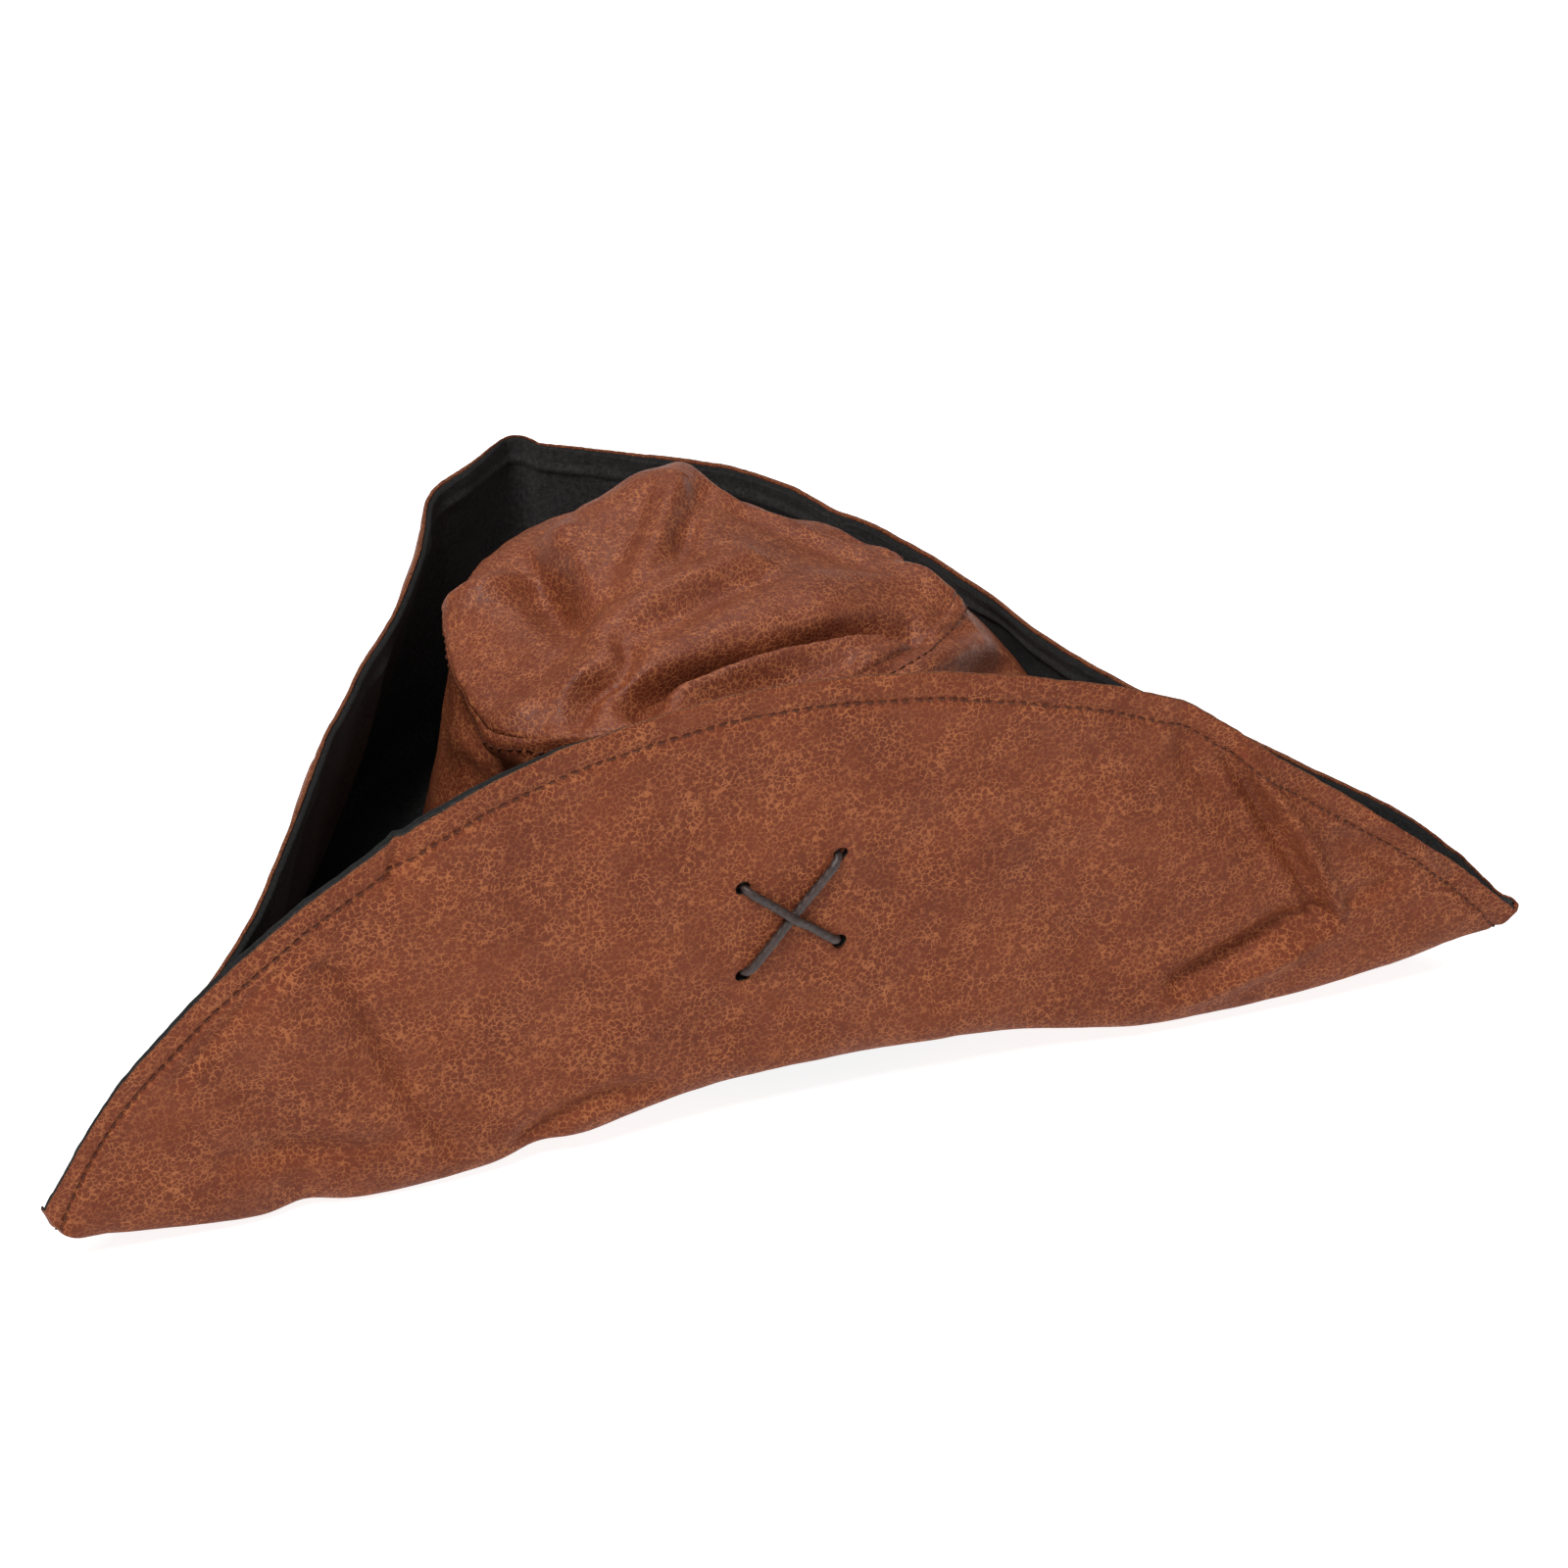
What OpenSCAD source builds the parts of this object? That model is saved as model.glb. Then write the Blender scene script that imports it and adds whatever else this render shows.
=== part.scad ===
// Three-cornered pirate hat: a soft crown on a brim whose edge is turned up in three flaps.
// Origin: centre of the head opening, at table height. +Z up, -Y towards the wide front flap.
// The brim is one folded sheet of suede lined with stiff felt. Each flap flexes about the line
// that joins its two corner tips, so the sheet is split along those three lines.

/* [Crown] */
// Radius of the head opening
head_radius = 92; // [90:0.5:93]
// Height of the crown's foot above the table
crown_foot_z = 13; // [12:0.5:14]
// Height of the seam between the side band and the tip
tip_seam_z = 100; // [94:1:102]
// Radius of the tip at its seam
tip_radius = 69; // [65:1:71]
// How far the tip leans to the left
tip_lean_x = -5; // [-8:1:0]
// How far the tip leans to the back
tip_lean_y = 4; // [0:1:6]
// Rise of the tip above its seam
tip_rise = 25; // [10:1:28]
// How far behind its middle the tip is highest
tip_peak_back = 34; // [0:1:40]

/* [Cloth] */
// Thickness of the suede
suede_t = 1; // [0.8:0.1:1.1]
// Thickness of the stiff felt that lines the brim
felt_t = 1.6; // [1.2:0.1:1.7]
// Thickness of the cloth that lines the crown
lining_t = 0.6; // [0.4:0.1:0.8]
// Thickness of the sweatband
sweatband_t = 1; // [0.6:0.1:1.2]
// Height of the sweatband
sweatband_h = 20; // [16:1:21]

/* [Lacing] */
// Diameter of the lace
lace_d = 2.6; // [2:0.1:2.8]
// Diameter of the punched holes in the front flap
flap_hole_d = 4; // [3.6:0.1:4.4]
// Side of the square that the four holes make
lace_square = 27; // [24:0.5:28]

/* [Stitching] */
// Diameter of the sewing thread
thread_d = 0.6; // [0.5:0.1:0.8]
// Distance of the edge stitching from the flap's edge
edge_stitch_in = 8; // [6:0.5:10]

/* [Hidden] */

suede_colour = [0.52, 0.29, 0.2];
felt_colour = [0.07, 0.07, 0.07];
lining_colour = [0.12, 0.11, 0.11];
thread_colour = [0.25, 0.12, 0.08];
lace_colour = [0.3, 0.24, 0.22];

layer_gap = 0.08;     // between two layers that lie on each other
foot_gap = 0.5;       // between the brim and the crown
hinge_gap = 1.9;      // between the brim's base and a flap
flap_min_h = 4;       // a flap starts where it stands this high above its hinge line
patch_steps = 22;     // columns along each flap
corner_steps = 4;     // columns round each corner
crown_steps = 48;     // columns round the crown
fold_radius = 14;     // rounding of the fold between the brim's floor and its flaps
$fn = 24;

// Fold line and edge of each flap, from corner to corner, anticlockwise seen from above
front_fold = [
    [-213, -104, 7], [-192, -103, 3], [-152, -102, -1.6], [-100, -102, 0], [-45, -101, 6], [0, -101, 10],
    [45, -101, 8], [85, -102, 1], [118, -102, -1.6], [165, -102, 5], [193, -101, 13]
];
front_edge = [
    [-219, -104, 20], [-194, -106, 58], [-151, -105, 93], [-99, -105, 121], [-47, -105, 133],
    [5, -105, 133], [50, -105, 124], [90, -105, 109], [122, -105, 87], [166, -105, 51], [199, -103, 20]
];
right_fold = [
    [193, -92, 13], [172, -68, 3], [150, -42, -1.6], [130, -10, -2.1], [116, 25, -2.1], [100, 62, -2.1],
    [74, 98, 0], [34, 126, 3], [-14, 137, 7]
];
right_edge = [
    [199, -94, 21], [176, -86, 44], [140, -66, 64], [112, -38, 73], [94, -12, 80], [81, 22, 86],
    [66, 55, 90], [42, 92, 94], [12, 112, 96], [-15, 126, 98]
];
left_fold = [
    [-24, 138, 7], [-62, 122, 3], [-95, 92, 0], [-120, 52, -2.1], [-136, 10, -2.1], [-155, -30, -2.1],
    [-178, -62, -1.6], [-198, -82, 2], [-213, -95, 7]
];
left_edge = [
    [-25, 129, 100], [-41, 110, 103], [-57, 97, 101], [-70, 68, 98], [-83, 46, 93], [-103, 15, 92],
    [-128, -35, 92], [-158, -78, 75], [-192, -92, 46], [-219, -95, 21]
];

lacing_x = -18;       // middle of the lacing on the front flap
lacing_z = 65;
lacing_rise = 2.4;    // how much higher the right holes sit than the lacing's middle

// ---- Vectors and curves ----

function unit(v) = v / norm(v);
function mix(a, b, u) = a + (b - a) * u;
function last(list) = list[len(list) - 1];
function eased(u) = (1 - cos(180 * u)) / 2;

// Point at u, from 0 to 1, on a smooth curve through the points
function curve(p, u) =
    let (
        n = len(p) - 1,
        i = min(floor(u * n), n - 1),
        f = u * n - i,
        before = i > 0 ? p[i - 1] : 2 * p[0] - p[1],
        after = i + 2 <= n ? p[i + 2] : 2 * p[n] - p[n - 1]
    )
    (2 * p[i] + (p[i + 1] - before) * f
        + (2 * before - 5 * p[i] + 4 * p[i + 1] - after) * f ^ 2
        + (3 * p[i] - before - 3 * p[i + 1] + after) * f ^ 3) / 2;

function quad_curve(a, b, c, u) = a * (1 - u) ^ 2 + b * 2 * u * (1 - u) + c * u ^ 2;

// ---- Brim surface ----
// A column runs across the brim: [crown foot, fold point, edge point]

function foot(fold) = unit([fold.x, fold.y, 0]) * (head_radius + foot_gap) + [0, 0, crown_foot_z];
function column(fold, edge) = [foot(fold), fold, edge];

// Point on a column: floor for t up to 0.25, rounded fold up to 0.5, flap up to 1
function across(c, t) =
    let (
        fold_in = min(fold_radius, 0.9 * norm(c[0] - c[1])),
        fold_up = min(fold_radius, 0.9 * norm(c[2] - c[1])),
        a = c[1] + unit(c[0] - c[1]) * fold_in,
        b = c[1] + unit(c[2] - c[1]) * fold_up
    )
    t < 0.25 ? mix(c[0], a, t / 0.25)
    : t < 0.5 ? quad_curve(a, c[1], b, (t - 0.25) / 0.25)
    : mix(b, c[2], (t - 0.5) / 0.5);

function patch_columns(fold, edge) = [for (i = [0:patch_steps])
    let (u = eased(i / patch_steps)) column(curve(fold, u), curve(edge, u))];

// Rounded corner between two flaps, whose facing ends are columns a and b
function corner_columns(a, b) =
    let (
        fold_out = cross(b[1] - a[1], [0, 0, 1]) / 2,
        edge_out = cross(b[2] - a[2], [0, 0, 1]) / 2
    )
    [for (i = [1:corner_steps])
        let (angle = 180 * i / (corner_steps + 1), u = (1 - cos(angle)) / 2)
        column(mix(a[1], b[1], u) + fold_out * sin(angle), mix(a[2], b[2], u) + edge_out * sin(angle))];

front_columns = patch_columns(front_fold, front_edge);
right_columns = patch_columns(right_fold, right_edge);
left_columns = patch_columns(left_fold, left_edge);

// ---- Hinge of each flap: the line from its first corner tip to its last ----

function hinge_axis(cols) = unit(last(cols)[2] - cols[0][2]);
function hinge_out(cols) = unit(cross(hinge_axis(cols), [0, 0, 1]));
function hinge_up(cols) = cross(hinge_out(cols), hinge_axis(cols));
function above_hinge(cols, p) = (p - cols[0][2]) * hinge_up(cols);
function is_flap(cols, c) = above_hinge(cols, c[2]) > flap_min_h;

// t at which column c crosses height h above the hinge line
function t_at(cols, c, h, low = 0.3, high = 1, n = 16) =
    let (mid = (low + high) / 2)
    n == 0 ? mid
    : above_hinge(cols, across(c, mid)) < h ? t_at(cols, c, h, mid, high, n - 1)
    : t_at(cols, c, h, low, mid, n - 1);

// ---- Grids of points, one row of points for each column ----

rise_shares = [0.12, 0.24, 0.36, 0.6, 1];
function base_row(c, top) = concat(
    [for (t = [0, 0.12, 0.25]) across(c, t)],
    [for (share = rise_shares) across(c, mix(0.25, top, share))]);
function base_rows(cols) = [for (c = cols)
    base_row(c, is_flap(cols, c) ? t_at(cols, c, -hinge_gap / 2) : 1)];
function corner_rows(a, b) = [for (c = corner_columns(a, b)) base_row(c, 1)];

base_grid = concat(
    base_rows(front_columns), corner_rows(last(front_columns), right_columns[0]),
    base_rows(right_columns), corner_rows(last(right_columns), left_columns[0]),
    base_rows(left_columns), corner_rows(last(left_columns), front_columns[0]));

flap_steps = 4;
function flap_grid(cols) = [for (c = cols) if (is_flap(cols, c))
    let (start = t_at(cols, c, hinge_gap / 2))
    [for (j = [0:flap_steps]) across(c, mix(start, 1, j / flap_steps))]];

// Unit normals of a grid, pointing out of the suede. A ring's ends join up.
function neighbour(i, n, ring) = ring ? (i + n) % n : max(0, min(n - 1, i));
function normals(g, ring) =
    let (n = len(g), m = len(g[0]))
    [for (i = [0:n - 1]) [for (j = [0:m - 1])
        let (
            along = g[neighbour(i + 1, n, ring)][j] - g[neighbour(i - 1, n, ring)][j],
            up = g[i][min(j + 1, m - 1)] - g[i][max(j - 1, 0)]
        )
        unit(cross(along, up))]];
function moved(g, ns, d) = [for (i = [0:len(g) - 1]) [for (j = [0:len(g[0]) - 1]) g[i][j] + ns[i][j] * d]];

// ---- Solids from grids ----

function quad(a, b, c, d) = [[a, b, c], [a, c, d]];

// Closed sheet between two grids of the same size: the outer one, and the one behind it
module sheet(outer, inner, ring) {
    n = len(outer);
    m = len(outer[0]);
    spans = ring ? n : n - 1;
    function front(i, j) = (i % n) * m + j;
    function back(i, j) = n * m + front(i, j);
    skins = [for (i = [0:spans - 1], j = [0:m - 2]) each concat(
        quad(front(i, j), front(i, j + 1), front(i + 1, j + 1), front(i + 1, j)),
        quad(back(i, j), back(i + 1, j), back(i + 1, j + 1), back(i, j + 1)))];
    long_edges = [for (i = [0:spans - 1]) each concat(
        quad(front(i, 0), front(i + 1, 0), back(i + 1, 0), back(i, 0)),
        quad(front(i + 1, m - 1), front(i, m - 1), back(i, m - 1), back(i + 1, m - 1)))];
    end_edges = [if (!ring) for (j = [0:m - 2]) each concat(
        quad(front(0, j + 1), front(0, j), back(0, j), back(0, j + 1)),
        quad(front(n - 1, j), front(n - 1, j + 1), back(n - 1, j + 1), back(n - 1, j)))];
    polyhedron([for (g = [outer, inner], row = g, p = row) p], concat(skins, long_edges, end_edges));
}

// Layer of a folded sheet: its outer face lies d_out behind the grid, its inner face d_in behind it
module layer(grid, d_out, d_in, ring) {
    ns = normals(grid, ring);
    sheet(moved(grid, ns, -d_out), moved(grid, ns, -d_in), ring);
}

// Round cord along the points, closed into a loop or with flat ends
module cord(p, d, sides, loop) {
    n = len(p);
    rings = [for (i = [0:n - 1])
        let (
            along = unit(p[neighbour(i + 1, n, loop)] - p[neighbour(i - 1, n, loop)]),
            side = unit(cross(along, abs(along.z) < 0.8 ? [0, 0, 1] : [along.y, -along.x, 0])),
            up = cross(side, along)
        )
        [for (k = [0:sides - 1]) p[i] + (side * cos(360 * k / sides) + up * sin(360 * k / sides)) * d / 2]];
    function at(i, k) = (i % n) * sides + k % sides;
    skin = [for (i = [0:n - (loop ? 1 : 2)], k = [0:sides - 1])
        each quad(at(i, k), at(i, k + 1), at(i + 1, k + 1), at(i + 1, k))];
    ends = loop ? [] : [
        [for (k = [0:sides - 1]) at(0, sides - 1 - k)],
        [for (k = [0:sides - 1]) at(n - 1, k)]
    ];
    polyhedron([for (r = rings, q = r) q], concat(skin, ends));
}

// ---- Crown ----

function crown_radius(u) = mix(head_radius, tip_radius, u);
function crown_centre(u) = [tip_lean_x * u, tip_lean_y * u, mix(crown_foot_z, tip_seam_z, u)];
function at_height(z) = (z - crown_foot_z) / (tip_seam_z - crown_foot_z);

// Point on the side band at share u of its height, set in from its outer face
function band_point(u, angle, inset) =
    crown_centre(u) + (crown_radius(u) - inset) * [cos(angle), sin(angle), 0];
function band_ring(u, inset) = [for (i = [0:crown_steps - 1]) band_point(u, 360 * i / crown_steps, inset)];
function band_grid(inset, top_u) = [for (i = [0:crown_steps - 1])
    [for (u = [0, top_u / 2, top_u]) band_point(u, 360 * i / crown_steps, inset)]];

module band_layer(inset, thickness, top_u) {
    sheet(band_grid(inset, top_u), band_grid(inset + thickness, top_u), true);
}

// Dome of the tip: rings from its rim in to a small flat cap at its highest point
dome_rings = [1, 0.8, 0.55, 0.3, 0.08];
function dome_grid(rim_radius, rim_z) = [for (i = [0:crown_steps - 1])
    [for (u = dome_rings)
        [tip_lean_x, tip_lean_y + tip_peak_back * (1 - u), rim_z + tip_rise * (1 - u ^ 2)]
            + rim_radius * u * [cos(360 * i / crown_steps), sin(360 * i / crown_steps), 0]]];

// Domed cloth whose underside meets the given rim
module dome_layer(rim_radius, rim_z, thickness) {
    outer = dome_grid(rim_radius, rim_z + thickness);
    inner = dome_grid(rim_radius, rim_z);
    top = last(dome_rings);
    sheet(outer, inner, true);
    translate([tip_lean_x, tip_lean_y + tip_peak_back * (1 - top), rim_z + tip_rise * (1 - top ^ 2)])
        cylinder(r = rim_radius * top + 0.1, h = thickness, $fn = crown_steps);
}

lining_inset = suede_t + layer_gap;
sweatband_inset = lining_inset + lining_t + layer_gap;
band_lining_top_z = tip_seam_z - lining_t - 2 * layer_gap;

module crown_tip() {
    color(suede_colour) dome_layer(tip_radius, tip_seam_z + layer_gap, suede_t);
}

module crown_tip_lining() {
    color(lining_colour) dome_layer(tip_radius - lining_inset, tip_seam_z - lining_t, lining_t);
}

module crown_band() {
    color(suede_colour) band_layer(0, suede_t, 1);
}

module crown_band_lining() {
    color(lining_colour) band_layer(lining_inset, lining_t, at_height(band_lining_top_z));
}

module sweatband() {
    color(lining_colour) band_layer(sweatband_inset, sweatband_t, at_height(crown_foot_z + sweatband_h));
}

// ---- Brim ----

felt_outer = suede_t + layer_gap;
felt_inner = felt_outer + felt_t;

module brim_base_suede() {
    color(suede_colour) layer(base_grid, 0, suede_t, true);
}

module brim_base_felt() {
    color(felt_colour) layer(base_grid, felt_outer, felt_inner, true);
}

module flap_suede(cols) {
    color(suede_colour) layer(flap_grid(cols), 0, suede_t, false);
}

module flap_felt(cols) {
    color(felt_colour) layer(flap_grid(cols), felt_outer, felt_inner, false);
}

module front_flap_suede() {
    difference() {
        flap_suede(front_columns);
        lacing_holes();
    }
}

module front_flap_felt() {
    difference() {
        flap_felt(front_columns);
        lacing_holes();
    }
}

module right_flap_suede() { flap_suede(right_columns); }
module right_flap_felt() { flap_felt(right_columns); }
module left_flap_suede() { flap_suede(left_columns); }
module left_flap_felt() { flap_felt(left_columns); }

// ---- Stitching ----

// Thread on the suede, a set distance in from the edge of a flap
module flap_stitching(cols) {
    sewn = [for (c = cols) if (above_hinge(cols, c[2]) > flap_min_h + edge_stitch_in) c];
    lift = hinge_out(cols) * (thread_d / 2 + 0.3);
    color(thread_colour)
        cord([for (c = sewn) c[2] + unit(c[1] - c[2]) * edge_stitch_in + lift], thread_d, 5, false);
}

module front_flap_stitching() { flap_stitching(front_columns); }
module right_flap_stitching() { flap_stitching(right_columns); }
module left_flap_stitching() { flap_stitching(left_columns); }

thread_lift = thread_d / 2 + layer_gap;

module tip_seam_stitching() {
    color(thread_colour) cord(band_ring(at_height(tip_seam_z - 3), -thread_lift), thread_d, 5, true);
}

module foot_seam_stitching() {
    color(thread_colour) cord(band_ring(at_height(crown_foot_z + 5), -thread_lift), thread_d, 5, true);
}

module sweatband_stitching() {
    inset = sweatband_inset + sweatband_t + thread_lift;
    color(thread_colour) cord(band_ring(at_height(crown_foot_z + 3), inset), thread_d, 5, true);
}

// ---- Lacing: a cord through four holes of the front flap, crossed outside and tied behind the felt ----

// [x, z] of a hole; side and level are -1 or 1
function hole(side, level) = [
    lacing_x + side * lace_square / 2,
    lacing_z + level * lace_square / 2 + side * lacing_rise
];

function t_at_z(c, z, low = 0.3, high = 1, n = 16) =
    let (mid = (low + high) / 2)
    n == 0 ? mid
    : across(c, mid).z < z ? t_at_z(c, z, mid, high, n - 1)
    : t_at_z(c, z, low, mid, n - 1);

// Where the front flap's suede face lies, in Y, at x and height z
function flap_y(x, z) =
    let (
        level = [for (c = front_columns) across(c, t_at_z(c, z))],
        spans = [for (i = [0:len(level) - 2])
            let (a = level[i], b = level[i + 1])
            if (a.x <= x && x < b.x) mix(a.y, b.y, (x - a.x) / (b.x - a.x))]
    )
    spans[0];

lace_lift = lace_d / 2 + 0.5;
function outside_point(p, lift) = [p[0], flap_y(p[0], p[1]) - lace_lift - lift, p[1]];
function inside_point(p) = [p[0], flap_y(p[0], p[1]) + felt_inner + lace_lift, p[1]];

// Strand across the flap from hole p to hole q, raised by lift where it crosses the other strand
function strand(p, q, lift) = [
    outside_point(p, 0),
    outside_point(mix(p, q, 0.3), lift * 0.7),
    outside_point(mix(p, q, 0.5), lift),
    outside_point(mix(p, q, 0.7), lift * 0.7),
    outside_point(q, 0)
];

// Closed path with each of its corners rounded
function rounded(p, r) = [for (i = [0:len(p) - 1])
    let (
        a = p[i] + unit(p[neighbour(i - 1, len(p), true)] - p[i]) * r,
        b = p[i] + unit(p[neighbour(i + 1, len(p), true)] - p[i]) * r
    )
    each [a, quad_curve(a, p[i], b, 0.33), quad_curve(a, p[i], b, 0.67), b]];

upper_left = hole(-1, 1);
upper_right = hole(1, 1);
lower_left = hole(-1, -1);
lower_right = hole(1, -1);
lace_path = concat(
    strand(upper_left, lower_right, lace_d + 0.5), [inside_point(lower_right), inside_point(upper_right)],
    strand(upper_right, lower_left, 0), [inside_point(lower_left), inside_point(upper_left)]);

knot_d = 2.6 * lace_d;
module front_lace() {
    knot = (inside_point(lower_left) + inside_point(upper_left)) / 2 + [0, (knot_d - lace_d) / 2, 0];
    color(lace_colour) {
        cord(rounded(lace_path, 1.7), lace_d, 8, true);
        translate(knot) sphere(d = knot_d);
    }
}

module lacing_holes() {
    for (side = [-1, 1], level = [-1, 1]) {
        p = hole(side, level);
        translate([p[0], flap_y(p[0], p[1]) - 4, p[1]])
            rotate([-90, 0, 0])
                cylinder(d = flap_hole_d, h = 11);
    }
}

crown_tip();
crown_band();
crown_tip_lining();
crown_band_lining();
sweatband();
tip_seam_stitching();
foot_seam_stitching();
sweatband_stitching();
brim_base_suede();
brim_base_felt();
front_flap_suede();
front_flap_felt();
front_flap_stitching();
front_lace();
right_flap_suede();
right_flap_felt();
right_flap_stitching();
left_flap_suede();
left_flap_felt();
left_flap_stitching();
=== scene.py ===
"""Pirate hat: the looks. A soft wrinkled crown, a felt-lined brim turned up in three flaps, and lacing.

Lengths in the tables below are in millimetres, in the CAD frame, and become metres when a mesh is made.
"""

import bmesh
import bpy
import numpy as np
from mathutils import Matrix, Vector


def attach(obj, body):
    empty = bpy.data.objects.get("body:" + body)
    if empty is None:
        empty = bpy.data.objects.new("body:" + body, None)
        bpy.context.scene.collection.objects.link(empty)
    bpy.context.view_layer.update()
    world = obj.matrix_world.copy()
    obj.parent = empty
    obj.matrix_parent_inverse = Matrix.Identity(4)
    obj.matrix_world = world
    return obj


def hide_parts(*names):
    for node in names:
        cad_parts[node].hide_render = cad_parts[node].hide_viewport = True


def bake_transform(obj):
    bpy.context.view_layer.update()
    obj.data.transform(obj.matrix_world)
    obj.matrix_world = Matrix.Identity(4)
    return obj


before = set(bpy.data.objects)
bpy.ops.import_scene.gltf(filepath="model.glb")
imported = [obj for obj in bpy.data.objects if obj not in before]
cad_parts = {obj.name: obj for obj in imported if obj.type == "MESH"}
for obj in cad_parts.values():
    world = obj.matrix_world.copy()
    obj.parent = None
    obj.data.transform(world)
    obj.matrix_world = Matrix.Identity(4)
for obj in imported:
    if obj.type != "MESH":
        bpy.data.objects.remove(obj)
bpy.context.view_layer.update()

ROOT = "crown_and_brim"
MM = 0.001

# ---------------------------------------------------------------- dimensions, mm

HEAD_R, FOOT_Z, FOOT_GAP = 92.0, 13.0, 0.06  # the crown's foot: radius, height and gap to the brim
SUEDE_T, FELT_T, LINING_T, LAYER_GAP = 1.0, 1.6, 0.6, 0.06
SWEATBAND_T, SWEATBAND_H = 1.0, 20.0
FOLD_R = 14.0
CORNER_REACH, CORNER_SHARE = 60.0, 0.3  # reach of the pinch at each corner, and the thickness left there
LACE_D, LACE_SQUARE, HOLE_D = 2.4, 27.0, 4.2
LACE_TWIST, LACE_STRANDS, LACE_RELIEF = 2.2, 3, 0.05
STITCH_IN, STITCH_PITCH, STITCH_LEN, THREAD_D = 8.0, 3.3, 2.4, 0.5
STITCH_RISE, STITCH_DIP = 0.34, 0.22  # height of a stitch's middle, and how far its ends sink

# Fold line and free edge of each flap, from corner to corner, anticlockwise seen from above
FLAPS = {
    "front": {
        "fold": [(-213, -104, 7), (-192, -103, 3), (-152, -102, -1.6), (-100, -102, 0), (-45, -101, 9),
                 (0, -101, 13), (45, -101, 8.5), (85, -102, 1.5), (118, -102, 1.2), (165, -102, 7),
                 (193, -101, 13)],
        "edge": [(-219, -104, 20), (-194, -106, 58), (-151, -105, 93), (-99, -105, 121), (-47, -105, 133),
                 (5, -105, 133), (50, -105, 124), (90, -105, 109), (122, -105, 84.5), (166, -105, 51),
                 (199, -103, 20)],
    },
    "right": {
        "fold": [(193, -92, 13), (172, -68, 3), (150, -42, -1.6), (130, -10, -2.1), (116, 25, -2.1),
                 (100, 62, -2.1), (74, 98, 0), (34, 126, 3), (-14, 137, 7)],
        "edge": [(199, -94, 21), (176, -86, 44), (140, -66, 64), (112, -38, 73), (94, -12, 80),
                 (81, 22, 86), (66, 55, 90), (42, 92, 94), (12, 112, 96), (-15, 126, 98)],
    },
    "left": {
        "fold": [(-24, 138, 7), (-62, 122, 3), (-95, 92, 0), (-120, 52, -2.1), (-136, 10, -2.1),
                 (-155, -30, -2.1), (-178, -62, -1.6), (-198, -82, 2), (-213, -95, 7)],
        "edge": [(-25, 129, 100), (-41, 110, 103), (-57, 97, 101), (-70, 68, 98), (-83, 46, 93),
                 (-103, 15, 92), (-128, -35, 92), (-158, -78, 75), (-192, -92, 46), (-217, -97, 17)],
    },
}
LACING = (-18.0, 65.0, 2.4)  # x and height of the middle of the lacing, and the rise to its right
NEXT_FLAP = {"front": "right", "right": "left", "left": "front"}

# Seam between the crown's side band and its tip
SEAM = [(-72, 30, 98), (-77, 7, 93), (-76, -17, 91), (-70, -35, 92), (-58, -46, 97), (-40, -53, 99),
        (-15, -56, 100), (14, -52, 102), (35, -43, 103), (50, -30, 101), (63, -12, 98), (66, 12, 93),
        (60, 38, 91), (42, 60, 96), (12, 72, 101), (-22, 71, 101), (-52, 56, 100)]
# Place of the tip's peak, its rise above the seam, and the side on which the slope is hollow, in degrees
TIP_PEAK, TIP_RISE, TIP_HOLLOW_SIDE = (-5.0, 38.0), 23.0, -10.0
# How slack the side band is all round, and where it stands out or sinks in: (facing, width, amount)
BAND_SLACK, BAND_BULGES = 5.0, [(-15, 36, 11), (197, 42, -20)]

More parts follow.
